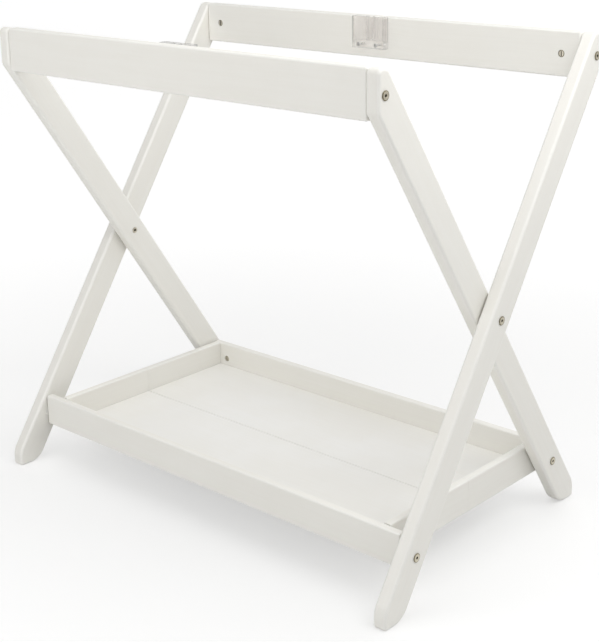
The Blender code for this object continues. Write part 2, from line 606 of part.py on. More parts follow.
def inner_frame(outer):
    frame = pivot("inner_frame", 0.0, CROSS_Z, outer)
    for name, hand in (("inner_leg_left", -1), ("inner_leg_right", 1)):
        obj = leg(name, hand * (INNER_OUT - LEG_THICK / 2), -1, frame)
        through = (hand * (INNER_IN - OVER), hand * (INNER_OUT + OVER))
        hole(obj, name + "_top_bore", BOLT_R + RUN, *through, "X", -RAIL_MID, RAIL_Z, sides=16)
        hole(obj, name + "_cross_bore", SLEEVE_R + RUN, *through, "X", 0.0, CROSS_Z)
        hole(obj, name + "_foot_bore", BOLT_R + RUN, *through, "X", PIVOT_Y, PIVOT_Z, sides=16)
        hole(obj, name + "_dowel_bore", DOWEL_R + RUN, hand * (INNER_IN - OVER),
             hand * (INNER_IN + DOWEL_IN_LEG + DOWEL_SPARE), "X", -RAIL_MID, RAIL_Z - DOWEL_DROP, sides=16)
    rail("front_rail", INNER_IN - TOUCH, -1, INNER_IN, frame)
    frame_bolts("front_rail_bolt", INNER_OUT, INNER_IN - BOLT_REACH + BORE_SPARE, -RAIL_MID, RAIL_Z, frame)
    barrel_nuts("front_rail_barrel_nut", INNER_IN - BARREL_INSET, -RAIL_INSIDE, 1, BARREL_LONG, -RAIL_MID, RAIL_Z,
                frame)
    dowels("front_rail_dowel", INNER_IN, -RAIL_MID, RAIL_Z - DOWEL_DROP, frame)
    socket("front_socket", -1, frame)
    socket_screws("front_socket_screw", -1, frame)
    frame_bolts("back_pivot_bolt", INNER_OUT, INNER_IN + TOUCH, PIVOT_Y, PIVOT_Z, frame)
    return frame


def shelf_half(tag, half, half_length, frame):
    long_board(f"shelf_{tag}_board", half_length, half, frame)
    end_board(f"shelf_{tag}_end_left", -1, half, frame)
    end_board(f"shelf_{tag}_end_right", 1, half, frame)
    floor_panel(f"shelf_{tag}_floor", half, frame)
    batten(f"shelf_{tag}_batten", half, frame)
    barrel_nuts(f"shelf_{tag}_barrel_nut", SHELF_NUT_X, half * BOARD_IN, -half, BARREL_SHORT, half * PIVOT_Y,
                PIVOT_Z, frame)
    for side, hand in SIDES:
        hinge_leaf(f"shelf_hinge_{side}_{tag}_leaf", hand * HINGE_AT, half, half < 0, frame)


def shelf(outer):
    front = pivot("shelf_front_half", -PIVOT_Y, PIVOT_Z, outer)
    shelf_half("front", -1, FRONT_BOARD_HALF, front)
    frame_bolts("front_pivot_bolt", OUTER_OUT, SHELF_BOLT_END, -PIVOT_Y, PIVOT_Z, front)
    washers("front_pivot_washer", FRONT_BOARD_HALF + TOUCH, OUTER_IN - TOUCH, BOLT_R + RUN, SPACER_R,
            -PIVOT_Y, PIVOT_Z, front, NYLON)
    for side, hand in SIDES:
        tag = f"shelf_hinge_{side}_pin"
        pin = rod_mesh(tag, HINGE_PIN_R, LEAF_LONG, "X", 16)
        piece(tag, pin, (hand * HINGE_AT, 0, HINGE_AXIS_Z), front, ZINC)
    back = pivot("shelf_back_half", 0.0, HINGE_AXIS_Z, front)
    shelf_half("back", 1, BACK_BOARD_HALF, back)
    washers("back_pivot_washer", BACK_BOARD_HALF + TOUCH, INNER_IN - TOUCH, BOLT_R + RUN, SPACER_R,
            PIVOT_Y, PIVOT_Z, back, NYLON)


def shade_pieces():
    for obj in STAND.objects:
        if obj.type == "MESH" and obj.data.polygons:
            obj.data.shade_smooth()
            obj.data.set_sharp_from_angle(angle=math.radians(35))


root = outer_frame()
inner_frame(root)
shelf(root)
shade_pieces()
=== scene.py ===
"""Dresses the folding bassinet stand: painted timber, bronze fittings, clear sockets and a plain studio.

Metres, +Z up, X along the rails, Y from the front rail to the back rail. Every piece takes its place
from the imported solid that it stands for, and moves with that solid's body.
"""
import json
import math

import bmesh
import bpy
from bpy.props import FloatProperty, FloatVectorProperty, IntProperty, PointerProperty
from bpy.types import Operator, Panel, PropertyGroup
from mathutils import Matrix, Vector

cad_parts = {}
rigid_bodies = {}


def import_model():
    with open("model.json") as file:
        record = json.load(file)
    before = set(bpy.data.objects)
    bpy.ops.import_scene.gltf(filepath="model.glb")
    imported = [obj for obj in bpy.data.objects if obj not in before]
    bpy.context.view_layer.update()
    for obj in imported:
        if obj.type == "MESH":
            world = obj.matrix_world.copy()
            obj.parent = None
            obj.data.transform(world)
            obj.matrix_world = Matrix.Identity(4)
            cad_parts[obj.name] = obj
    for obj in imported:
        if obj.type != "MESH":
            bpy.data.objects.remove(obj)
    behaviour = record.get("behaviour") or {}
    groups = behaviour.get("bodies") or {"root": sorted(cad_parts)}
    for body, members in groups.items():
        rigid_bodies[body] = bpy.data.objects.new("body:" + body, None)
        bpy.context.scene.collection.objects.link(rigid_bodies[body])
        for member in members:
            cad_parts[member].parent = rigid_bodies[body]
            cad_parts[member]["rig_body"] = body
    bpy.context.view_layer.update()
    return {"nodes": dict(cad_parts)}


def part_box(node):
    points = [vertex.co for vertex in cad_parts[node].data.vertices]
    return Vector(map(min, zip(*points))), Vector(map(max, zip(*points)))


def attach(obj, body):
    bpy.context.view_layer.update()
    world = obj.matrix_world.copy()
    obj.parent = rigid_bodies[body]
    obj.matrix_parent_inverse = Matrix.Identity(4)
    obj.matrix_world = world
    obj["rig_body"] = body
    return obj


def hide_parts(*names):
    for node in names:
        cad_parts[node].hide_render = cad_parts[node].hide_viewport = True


bl_info = {
    "name": "Bassinet Stand",
    "version": (1, 0, 0),
    "blender": (4, 5, 0),
    "location": "View3D > Sidebar > Bassinet Stand",
    "description": "Builds a folding wooden bassinet stand with its fittings and a studio",
    "category": "Object",
}

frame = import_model()

SIDES = (("left", -1), ("right", 1))
HALVES = (("front", -1), ("back", 1))
HALF_BODY = {"front": "shelf_front_half", "back": "shelf_back_half"}
TOUCH = 0.0003          # gap between pieces that rest on each other
EASE = 0.0002           # eased rim of a bore or of a key's socket
SAME = 1e-6             # two places closer than this are one
LOOKS = 0.999           # a face looks along a direction when the cosine between them is above this
STEEP = 1.0             # radians; a surface that turns by more than this has a rim there
CORNER_STEPS = 8        # facets across a rounded corner of a leg's outline
HOLE_STEPS = 20         # facets round a screw's hole
FINE_STEPS = 3          # facets across the smallest round-overs
TURNED_SHARP = 30.0     # degrees from which an edge of a turned fitting is drawn sharp
HEAD_RINGS = (0.44, 0.62, 0.68, 0.80, 0.86)     # a bolt head's dish, rim and crown, as parts of its radius
HEAD_SHEEN = 0.82                              # the part of a bolt head's radius that takes the lighter bronze, a painted sheen
SLEEVE_CROWN = ((0.0, 0.0012), (0.0001, 0.0007), (0.0002, 0.0003), (0.0004, 0.0001), (0.0006, 0.0))
NUT_CROWN = ((0.0, 0.0012), (0.0003, 0.0008), (0.0009, 0.0))        # crowns: metres (down, in from the side)
SCREW_CROWN = ((1.0, 0.68), (0.90, 0.84), (0.62, 0.96), (0.30, 1.0), (0.0, 0.99))   # parts of (rise, head)
VALUE, PLACE = "NodeSocketFloat", "NodeSocketVector"


def length(name, description, default, digits=4):
    """A size in metres."""
    return FloatProperty(name=name, description=description, default=default, min=0.0, unit="LENGTH",
                         precision=digits)


def share(name, description, default):
    """A part of one."""
    return FloatProperty(name=name, description=description, default=default, min=0.0, max=1.0,
                         subtype="FACTOR")


def number(name, description, default, unit="NONE"):
    """A number from 0 up."""
    return FloatProperty(name=name, description=description, default=default, min=0.0, unit=unit)


def angle(name, description, degrees):
    """A turn, given here in degrees."""
    return FloatProperty(name=name, description=description, default=math.radians(degrees),
                         subtype="ANGLE")


def colour(name, description, default):
    """A colour in linear red, green and blue."""
    return FloatVectorProperty(name=name, description=description, default=default, min=0.0, max=1.0,
                               size=3, subtype="COLOR")


class StandSizes(PropertyGroup):
    """Sizes of the stand's shapes."""
    leg_width: length("Leg width", "Width of a leg's broad side", 0.0455)
    top_flat: length("Top flat", "Level width of a leg's top", 0.01715)
    foot_flat: length("Foot flat", "Level width of a foot", 0.0383)
    foot_corner: length("Foot corner", "Rounding of a foot's square corner", 0.0050)
    foot_ease: length("Foot rounding", "Rounding of a foot's two blunt corners", 0.0300)
    leg_round: length("Leg rounding", "Round-over of the legs' long edges", 0.0045)
    top_corner: length("Top corner", "Rounding of the square corner at a leg's top", 0.0080)
    top_ease: length("Top rounding", "Rounding of the blunt corner beside a leg's top", 0.0120)
    side_ease: length("Side rounding", "Rounding of the blunt corner under a leg's upright end", 0.0120)
    rail_round: length("Rail rounding", "Round-over of the rails' edges", 0.0030)
    board_round: length("Board rounding", "Round-over of the shelf boards' edges", 0.0025)
    back_reach: length("Back joint", "How far the end boards reach on to close up to the back board",
                       0.0012)
    board_bore: length("Pivot bore", "Depth of the pivot bolts' bores in the shelf boards", 0.0200)
    batten_round: length("Batten rounding", "Round-over of the battens' edges", 0.0008)
    panel_step: length("Panel step", "How far the floor panels stand over their tongues", 0.0012)
    panel_round: length("Panel rounding", "Round-over of the floor panels' upper edges", 0.0005)
    tongue: length("Panel tongue", "Reach of a floor panel into the boards' grooves", 0.0043)
    tongue_stop: length("Tongue stop", "Distance of the side tongues from the seam", 0.0034)
    groove_stop: length("Groove stop", "Distance of the end boards' grooves from the seam", 0.0030)
    groove_margin: length("Groove margin", "Distance of the grooves from the long boards", 0.0026)
    bolt: length("Bolt shank", "Radius of the connector bolts", 0.0030)
    bolt_tip: length("Bolt tip", "Bevel on the bolts' tips", 0.0008)
    head_high: length("Bolt head", "Height of the bolts' flat heads", 0.0012)
    head_dish: length("Head dish", "Depth of the shallow dish in a bolt's head", 0.00015, 5)
    head_bevel: length("Head bevel", "Bevel round the bolts' heads", 0.0002)
    sleeve: length("Sleeve nut", "Radius of the sleeve nuts at the crossing", 0.0041)
    sleeve_high: length("Sleeve nut head", "Height of the sleeve nuts' flat heads", 0.0008)
    sleeve_floor: length("Sleeve nut floor", "Metal between a sleeve nut's bore and its head", 0.0030)
    sleeve_cone: length("Sleeve nut cone", "Height of the cone at the end of a sleeve nut's bore", 0.0005)
    sleeve_key: length("Sleeve nut socket", "Corner radius of the sleeve nuts' six-sided socket", 0.0027)
    sleeve_key_deep: length("Sleeve nut socket depth", "Depth of the sleeve nuts' socket", 0.0018)
    key: length("Bolt socket", "Corner radius of the bolts' six-sided socket", 0.0024)
    key_deep: length("Bolt socket depth", "Depth of the bolts' six-sided socket", 0.0011)
    slot_width: length("Nut slot", "Width of the slot in a barrel nut's end", 0.0016)
    slot_margin: length("Nut slot margin", "Distance of the slot's ends from the nut's side", 0.0014)
    slot_deep: length("Nut slot depth", "Depth of the slot in a barrel nut's end", 0.0013)
    small_ease: length("Small bevels", "Bevel on the nuts, the washers and the sockets' mouths", 0.0003)
    socket_wall: length("Socket wall", "Wall of the clear sockets", 0.0022)
    socket_round: length("Socket rounding", "Round-over of the clear sockets' edges", 0.0010)
    socket_hole: length("Socket holes", "Radius of the clear sockets' screw holes", 0.0016)
    socket_sill: length("Socket sill", "Solid bar across a socket's bottom", 0.0130)
    guide_at: length("Socket guides", "Distance of a socket's guides from its middle", 0.0065)
    guide_wide: length("Guide width", "Width of a socket's guides", 0.0020)
    guide_deep: length("Guide depth", "How far the guides stand out of the wall", 0.0040)
    screw_rise: length("Socket screw head", "Height of the socket screws' heads", 0.0010)
    screw_shank: length("Screw shank", "Radius of the screws' shanks", 0.0013)
    rail_hole: length("Rail holes", "Radius of the rails' holes for the socket screws", 0.0018)
    rail_hole_deep: length("Rail hole depth", "Depth of the rails' holes for the socket screws", 0.0120)
    leaf: length("Hinge leaf", "Thickness of the hinge leaves", 0.0012)
    leaf_screw: length("Leaf screw head", "Radius of the leaf screws' heads", 0.0026)
    leaf_screw_rise: length("Leaf screw rise", "Height of the leaf screws' heads", 0.0007)
    leaf_screw_long: length("Leaf screw length", "Length of the leaf screws' shanks", 0.0075)
    leaf_screw_at: length("Leaf screws", "Distance of a leaf's screws from the seam", 0.0120)
    leaf_screw_apart: length("Leaf screws apart", "Distance between the two screws of a leaf", 0.0228)
    round_steps: IntProperty(name="Rounding steps", description="Facets across each rounded edge",
                             default=6, min=2, max=12)
    turn_steps: IntProperty(name="Turned steps", description="Facets round each turned fitting",
                            default=48, min=24, max=96)


class PaintLook(PropertyGroup):
    """Colours and surface of the painted timber."""
    light: colour("Paint", "Colour of the paint on open faces", (0.860, 0.847, 0.800))
    shade: colour("Paint in the grain", "Colour where the paint lies thin in the grain",
                  (0.835, 0.818, 0.765))
    # the lighter colour along the rounded edges is a painted highlight
    edge: colour("Paint on edges", "Colour along the rounded edges", (0.875, 0.864, 0.825))
    panel: colour("Floor paint", "Colour of the shelf's floor", (0.876, 0.870, 0.845))
    gloss: share("Paint roughness", "Mean roughness of the paint", 0.40)
    gloss_drift: share("Roughness drift", "How far the paint's roughness drifts to either side", 0.035)
    tone_drift: share("Tone drift", "How much the slow drift in tone shades the paint", 0.45)
    # how strongly the painted highlight shows along the edges
    edge_tone: share("Edge tone", "How much of the edges' own colour shows on them", 0.75)
    grain: share("Grain depth", "How much the grain shows through the paint", 0.30)
    grain_tone: number("Grain tone", "How much more the grain shows in the colour than in height", 1.6)
    panel_grain: share("Floor grain", "How much of the grain shows on the shelf's floor", 0.45)
    pore_depth: share("Pore depth", "Depth of the pores against the grain's", 0.6)
    pore_roughness: share("Pore roughness", "How much rougher the paint is over pores", 0.05)
    peel: share("Spray texture", "Height of the fine spray texture", 0.16)
    beech: colour("Beech", "Colour of the bare dowels", (0.60, 0.41, 0.24))


class FittingLook(PropertyGroup):
    """Colours and surface of the metal and nylon fittings."""
    bronze: colour("Bronze", "Colour of the bolts' dark finish", (0.300, 0.265, 0.175))
    # the lighter bronze in the middle of the bolts' heads and on the sleeve nuts' tops is a painted sheen
    painted_sheen_bronze: colour("Rubbed bronze", "Colour where the bolts' finish is bright", (0.690, 0.640, 0.520))
    nut: colour("Nut bronze", "Colour of the barrel nuts' ends", (0.720, 0.670, 0.560))
    zinc: colour("Zinc", "Colour of the plated steel", (0.610, 0.605, 0.590))
    nylon: colour("Nylon", "Colour of the nylon washers", (0.800, 0.790, 0.760))
    bronze_roughness: share("Bronze roughness", "Mean roughness of the bronze", 0.34)
    zinc_roughness: share("Zinc roughness", "Mean roughness of the zinc", 0.36)
    tarnish: share("Tarnish", "How much of the cloudy tarnish shows", 0.5)
    tarnish_shade: share("Tarnish shade", "Brightness of the tarnish against the metal's", 0.62)
    recess_shade: share("Recess shade", "Brightness in key sockets and slots against the metal's", 0.18)


class SocketLook(PropertyGroup):
    """Colour and surface of the clear sockets."""
    tint: colour("Plastic tint", "Colour of the clear plastic", (0.988, 0.976, 0.974))
    roughness: share("Plastic roughness", "Mean roughness of the clear plastic", 0.05)
    body: share("Plastic body", "How much the plastic shows against what is behind it", 0.55)
    passes: share("Light passed", "Part of the light that the plastic lets through to what is behind it",
                  0.90)


class StudioLook(PropertyGroup):
    """Camera, floor and light."""
    azimuth: angle("Azimuth", "Camera's angle round the stand", 42.389)
    elevation: angle("Elevation", "Camera's angle over the floor", 15.494)
    roll: angle("Roll", "Camera's turn about its own line of sight", -0.895)
    distance: length("Distance", "Camera to its target", 2.0487, 3)
    target: FloatVectorProperty(name="Target", description="Point that the camera looks at",
                                default=(0.0303, 0.0, 0.4112), subtype="XYZ", unit="LENGTH")
    lens: FloatProperty(name="Lens", description="Focal length on a 36 mm sensor", default=75.066,
                        min=1.0, unit="CAMERA")
    rise: FloatProperty(name="Vertical shift", description="Camera's vertical shift", default=-0.126)
    floor: share("Floor", "How much light the floor gives back to the camera", 0.50)
    glow: share("Floor glow", "White that the camera sees on the floor by the stand in any light", 0.46)
    far_glow: share("Far glow", "White that the camera sees on the floor two metres off and farther",
                    0.69)
    bounce: share("Floor bounce", "How much light the floor throws up at the stand", 0.88)
    overhead: number("Overhead", "Strength of the sky overhead", 0.56)
    behind: number("Behind", "Strength of the sky behind the stand", 1.55)
    ahead: number("Ahead", "Strength of the sky in front of the stand", 0.44)
    aside: number("Aside", "Strength of the sky to the right of the stand", 0.28)
    side_light: number("Side light", "Soft light over the right legs", 5.9, "POWER")
    near_light: number("Near light", "Small light by the right legs' tops", 1.9, "POWER")
    inner_light: number("Inner light", "Soft light over the middle", 3.0, "POWER")
    front_light: number("Front light", "Soft light before the front rail", 9.6, "POWER")


# shaping

def round_over(bm, edges, width, steps):
    """Rounds edges over and marks the inside of each rounding in the edge layer, where the paint takes a
    painted highlight.
    """
    made = bmesh.ops.bevel(bm, geom=edges, offset=width, offset_type="OFFSET", segments=steps, profile=0.5,
                           affect="EDGES", clamp_overlap=False, material=-1)
    rounded = set(made["faces"])
    layer = bm.verts.layers.float.get("edge") or bm.verts.layers.float.new("edge")
    for face in rounded:
        for vert in face.verts:
            if all(other in rounded for other in vert.link_faces):
                vert[layer] = 1.0


def slab(bm, low, high, rounding=0.0, steps=1):
    """A board between two corners, with every edge rounded over where a rounding is given."""
    made = bmesh.ops.create_cube(bm, size=1.0)["verts"]
    bmesh.ops.scale(bm, vec=[b - a for a, b in zip(low, high)], verts=made)
    bmesh.ops.translate(bm, vec=(Vector(low) + Vector(high)) / 2, verts=made)
    if rounding:
        round_over(bm, bm.edges[:], rounding, steps)


def wall_of(bm, direction):
    """The largest flat face that looks in a direction."""
    direction = Vector(direction)
    facing = [face for face in bm.faces if face.normal.dot(direction) > LOOKS]
    return max(facing, key=lambda face: face.calc_area())


def disc_on(bm, wall, at, radius, steps=40):
    """A round face in a wall's plane, under or over the point at."""
    at = Vector(at) - wall.normal * (Vector(at) - wall.verts[0].co).dot(wall.normal)
    turn = wall.normal.to_track_quat("Z", "Y").to_matrix().to_4x4()
    made = bmesh.ops.create_circle(bm, cap_ends=True, radius=radius, segments=steps,
                                   matrix=Matrix.Translation(at) @ turn)
    return made["verts"][0].link_faces[0]


def outline_on(bm, points):
    """A flat face from a few corners."""
    return bm.faces.new([bm.verts.new(point) for point in points])


def let_in(bm, wall, shapes):
    """Fills a flat wall again round the shapes that lie in its plane."""
    normal = wall.normal.copy()
    edges = [edge for face in (wall, *shapes) for edge in face.edges]
    for shape in shapes:
        shape.normal_update()
        if shape.normal.dot(normal) < 0:
            shape.normal_flip()
    bmesh.ops.delete(bm, geom=[wall], context="FACES_ONLY")
    bmesh.ops.triangle_fill(bm, use_beauty=True, normal=normal, edges=edges)


def sink(bm, face, depth, ease=0.0):
    """Presses a face in: its rim is eased first, then it goes straight down."""
    face.normal_update()
    down = -face.normal.copy()
    if ease:
        bmesh.ops.inset_individual(bm, faces=[face], thickness=ease, depth=-ease, use_even_offset=True)
    floor = bmesh.ops.extrude_discrete_faces(bm, faces=[face])["faces"][0]
    bmesh.ops.translate(bm, vec=down * (depth - ease), verts=floor.verts)


def open_through(bm, near, far):
    """Joins two faces that look at each other's backs into a hole."""
    edges = near.edges[:] + far.edges[:]
    bmesh.ops.delete(bm, geom=[near, far], context="FACES_ONLY")
    bmesh.ops.bridge_loops(bm, edges=edges)


def lathe(bm, profile, origin, axis, steps, closed=False):
    """Turns a profile of (along, radius) points about an axis through origin."""
    axis = Vector(axis)
    out = axis.orthogonal().normalized()
    verts = [bm.verts.new(Vector(origin) + axis * along + out * radius) for along, radius in profile]
    edges = [bm.edges.new(pair) for pair in zip(verts, verts[1:])]
    if closed:
        edges.append(bm.edges.new((verts[-1], verts[0])))
    bmesh.ops.spin(bm, geom=verts + edges, cent=origin, axis=axis, dvec=(0, 0, 0), angle=math.tau,
                   steps=steps, use_merge=True, use_duplicate=False)
    bmesh.ops.remove_doubles(bm, verts=bm.verts, dist=SAME)
    bmesh.ops.recalc_face_normals(bm, faces=bm.faces)


def close_round(bm, shape, axis):
    """Fills between a turned piece's open rim and a shape inside it."""
    rim = [edge for edge in bm.edges if edge.is_boundary and edge not in shape.edges[:]]
    shape.normal_update()
    if shape.normal.dot(Vector(axis)) < 0:
        shape.normal_flip()
    bmesh.ops.triangle_fill(bm, use_beauty=True, normal=axis, edges=rim + shape.edges[:])


def six_sided(bm, at, axis, radius):
    """A six-sided face on a turned piece's open top, with the ring round it filled."""
    turn = Vector(axis).to_track_quat("Z", "Y").to_matrix().to_4x4()
    made = bmesh.ops.create_circle(bm, cap_ends=True, radius=radius, segments=6,
                                   matrix=Matrix.Translation(at) @ turn)
    key = made["verts"][0].link_faces[0]
    close_round(bm, key, axis)
    return key


def cut_at(bm, place, across, drop=False):
    """Cuts a shape in a plane; with drop, what lies beyond the plane goes and the cut is closed."""
    cut = bmesh.ops.bisect_plane(bm, geom=bm.verts[:] + bm.edges[:] + bm.faces[:], plane_co=place,
                                 plane_no=across, clear_outer=drop)["geom_cut"]
    if drop:
        bmesh.ops.edgeloop_fill(bm, edges=[part for part in cut if isinstance(part, bmesh.types.BMEdge)])


def mark(bm, name, test):
    """Sets a point attribute to 1 where a test of the place holds."""
    layer = bm.verts.layers.float.get(name) or bm.verts.layers.float.new(name)
    for vert in bm.verts:
        if test(vert.co):
            vert[layer] = 1.0


def mark_recess_shade(bm, origin, axis, radius, top):
    """Marks the inside of a recess in a fitting's end as deep, from under its rim to its floor; there the
    metal is darkened, a painted shade.
    """
    rim, reach, slack = 0.0003, 0.0030, 1.02

    def inside(co):
        along = (co - origin).dot(axis)
        return top - reach < along < top - rim and (co - origin - axis * along).length < radius * slack
    mark(bm, "deep", inside)


def piece(bm, node, ending, body, finish, sharp=35.0):
    """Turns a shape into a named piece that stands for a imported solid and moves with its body."""
    bmesh.ops.recalc_face_normals(bm, faces=bm.faces)
    name = f"{node}_{ending}"
    mesh = bpy.data.meshes.new(name)
    bm.to_mesh(mesh)
    bm.free()
    mesh.shade_smooth()
    mesh.set_sharp_from_angle(angle=math.radians(sharp))
    mesh.materials.append(finish)
    obj = bpy.data.objects.new(name, mesh)
    bpy.context.scene.collection.objects.link(obj)
    even = obj.modifiers.new("even_shading", "WEIGHTED_NORMAL")
    even.keep_sharp = True
    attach(obj, body)
    if node in frame["nodes"]:
        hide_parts(node)
    return obj


def body_of(node):
    """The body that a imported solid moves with."""
    return frame["nodes"][node]["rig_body"]


def middle(node):
    """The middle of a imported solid's box."""
    low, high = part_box(node)
    return (low + high) / 2


def inner_outer(low, high, way):
    """The end of a span that faces the stand's middle, then the end that faces out."""
    return (low, high) if way > 0 else (high, low)


# node trees

def add(tree, kind, **values):
    """A new node with some of its settings."""
    made = tree.nodes.new(kind)
    for key, value in values.items():
        setattr(made, key, value)
    return made


def group(name, inputs, outputs):
    """An empty effect with named sockets: (tree, input node, output node)."""
    tree = bpy.data.node_groups.new(name, "ShaderNodeTree")
    for label, kind, default in inputs:
        socket = tree.interface.new_socket(label, in_out="INPUT", socket_type=kind)
        if default is not None:
            socket.default_value = default
    for label, kind in outputs:
        tree.interface.new_socket(label, in_out="OUTPUT", socket_type=kind)
    return tree, tree.nodes.new("NodeGroupInput"), tree.nodes.new("NodeGroupOutput")


def math_node(tree, operation, a, b=None):
    """A sum or the like of links and numbers."""
    made = add(tree, "ShaderNodeMath", operation=operation)
    for socket, value in zip(made.inputs, (a, b)):
        if isinstance(value, bpy.types.NodeSocket):
            tree.links.new(value, socket)
        elif value is not None:
            socket.default_value = value
    return made.outputs[0]


def noise(tree, vector, scale, detail, roughness=0.5):
    """Soft noise over a place, at a scale that may be a link."""
    made = add(tree, "ShaderNodeTexNoise")
    made.inputs["Detail"].default_value = detail
    made.inputs["Roughness"].default_value = roughness
    tree.links.new(vector, made.inputs["Vector"])
    if isinstance(scale, bpy.types.NodeSocket):
        tree.links.new(scale, made.inputs["Scale"])
    else:
        made.inputs["Scale"].default_value = scale
    return made.outputs["Fac"]


def stretch_range(tree, value, low, high, to_low=0.0, to_high=1.0):
    """Takes one range smoothly to another."""
    made = add(tree, "ShaderNodeMapRange", interpolation_type="SMOOTHSTEP")
    tree.links.new(value, made.inputs["Value"])
    for label, end in (("From Min", low), ("From Max", high), ("To Min", to_low), ("To Max", to_high)):
        made.inputs[label].default_value = end
    return made.outputs["Result"]


def between(tree, pattern, low, high):
    """Takes a pattern of 0 to 1 to the range between two values."""
    return stretch_range(tree, pattern, 0.0, 1.0, low, high)


def grain_group():
    """Long streaks and short pores that run along X."""
    tree, given, out = group("timber_grain",
                             (("Vector", PLACE, None), ("Across", VALUE, 210.0), ("Along", VALUE, 5.0)),
                             (("Streaks", VALUE), ("Pores", VALUE)))
    link = tree.links.new
    sway = (0.0, 0.016, 0.016)              # how far the grain wanders, in metres
    pore_scale = (95.0, 1500.0, 1500.0)     # pores are short along X and fine across it
    bend = add(tree, "ShaderNodeTexNoise")
    bend.inputs["Scale"].default_value = 3.0
    bend.inputs["Detail"].default_value = 1.0
    link(given.outputs["Vector"], bend.inputs["Vector"])
    shift = add(tree, "ShaderNodeVectorMath", operation="MULTIPLY_ADD")
    shift.inputs[1].default_value = sway
    link(bend.outputs["Color"], shift.inputs[0])
    link(given.outputs["Vector"], shift.inputs[2])
    scale = add(tree, "ShaderNodeCombineXYZ")
    link(given.outputs["Along"], scale.inputs["X"])
    link(given.outputs["Across"], scale.inputs["Y"])
    link(given.outputs["Across"], scale.inputs["Z"])
    long = add(tree, "ShaderNodeVectorMath", operation="MULTIPLY")
    link(shift.outputs[0], long.inputs[0])
    link(scale.outputs[0], long.inputs[1])
    streaks = noise(tree, long.outputs[0], 1.0, 4.0, 0.62)
    link(stretch_range(tree, streaks, 0.30, 0.72), out.inputs["Streaks"])
    short = add(tree, "ShaderNodeVectorMath", operation="MULTIPLY")
    short.inputs[1].default_value = pore_scale
    link(shift.outputs[0], short.inputs[0])
    pores = noise(tree, short.outputs[0], 1.0, 1.0)
    link(stretch_range(tree, pores, 0.62, 0.74), out.inputs["Pores"])
    return tree


def film_group():
    """Spray texture of a paint film and its slow drift in tone."""
    tree, given, out = group("paint_film",
                             (("Vector", PLACE, None), ("Peel Scale", VALUE, 620.0),
                              ("Drift Scale", VALUE, 7.0)),
                             (("Peel", VALUE), ("Drift", VALUE)))
    tree.links.new(noise(tree, given.outputs["Vector"], given.outputs["Peel Scale"], 2.0), out.inputs["Peel"])
    drift = noise(tree, given.outputs["Vector"], given.outputs["Drift Scale"], 3.0)
    tree.links.new(stretch_range(tree, drift, 0.32, 0.68), out.inputs["Drift"])
    return tree


def painted_light_group():
    """A mark that an attribute gives, broken up so that its border isn't ruled; it carries painted
    highlights, sheens and shades.
    """
    tree, given, out = group("painted_light_mark",
                             (("Vector", PLACE, None), ("Mark", VALUE, 0.0),
                              ("Breakup Scale", VALUE, 300.0), ("Breakup", VALUE, 0.4)),
                             (("Mask", VALUE),))
    cloud = noise(tree, given.outputs["Vector"], given.outputs["Breakup Scale"], 3.0)
    away = math_node(tree, "SUBTRACT", cloud, 0.5)
    spread = math_node(tree, "MULTIPLY", away, given.outputs["Breakup"])
    mask = math_node(tree, "ADD", given.outputs["Mark"], spread)
    tree.links.new(stretch_range(tree, mask, 0.25, 0.75), out.inputs["Mask"])
    return tree


def metal_group():
    """Fine scratches, cloudy tarnish and grain of a plated part."""
    tree, given, out = group("plated_metal",
                             (("Vector", PLACE, None), ("Cloud Scale", VALUE, 260.0),
                              ("Grit Scale", VALUE, 2600.0)),
                             (("Cloud", VALUE), ("Grit", VALUE)))
    cloud = noise(tree, given.outputs["Vector"], given.outputs["Cloud Scale"], 3.0)
    tree.links.new(stretch_range(tree, cloud, 0.34, 0.66), out.inputs["Cloud"])
    tree.links.new(noise(tree, given.outputs["Vector"], given.outputs["Grit Scale"], 2.0), out.inputs["Grit"])
    return tree


GROUP_MAKERS = {"timber_grain": grain_group, "paint_film": film_group, "painted_light_mark": painted_light_group,
                "plated_metal": metal_group}


def effect(tree, name, vector, **values):
    """Places a shared effect in a material with this material's own values."""
    made = tree.nodes.new("ShaderNodeGroup")
    made.node_tree = bpy.data.node_groups.get(name) or GROUP_MAKERS[name]()
    tree.links.new(vector, made.inputs["Vector"])
    for label, value in values.items():
        socket = made.inputs[label.replace("_", " ")]
        if isinstance(value, bpy.types.NodeSocket):
            tree.links.new(value, socket)
        else:
            socket.default_value = value
    return made.outputs


def new_finish(name, turn=(0.0, 0.0, 0.0)):
    """A material with its shader and a turned pattern place: (material, tree, shader, place)."""
    finish = bpy.data.materials.new(name)
    finish.use_nodes = True
    tree = finish.node_tree
    place = add(tree, "ShaderNodeTexCoord")
    mapping = add(tree, "ShaderNodeMapping")
    mapping.inputs["Rotation"].default_value = turn
    tree.links.new(place.outputs["Object"], mapping.inputs["Vector"])
    return finish, tree, tree.nodes["Principled BSDF"], mapping.outputs["Vector"]


def blend_colours(tree, mask, low, high):
    """Mixes two colours, or a colour link and a colour, by a mask."""
    made = add(tree, "ShaderNodeMix", data_type="RGBA")
    tree.links.new(mask, made.inputs["Factor"])
    first, second, mixed = made.inputs[6], made.inputs[7], made.outputs[2]   # its colour sockets
    for socket, value in ((first, low), (second, high)):
        if isinstance(value, bpy.types.NodeSocket):
            tree.links.new(value, socket)
        else:
            socket.default_value = (*value, 1.0)
    return mixed


def darker(shade, part):
    """A colour with only a part of its brightness."""
    return [c * part for c in shade]


def relief(tree, shader, height, strength, distance):
    """Gives a shader the relief of a height pattern."""
    bump = add(tree, "ShaderNodeBump")
    bump.inputs["Strength"].default_value = strength
    bump.inputs["Distance"].default_value = distance
    tree.links.new(height, bump.inputs["Height"])
    tree.links.new(bump.outputs["Normal"], shader.inputs["Normal"])


def attribute(tree, name):
    """A point attribute's value."""
    return add(tree, "ShaderNodeAttribute", attribute_name=name).outputs["Fac"]


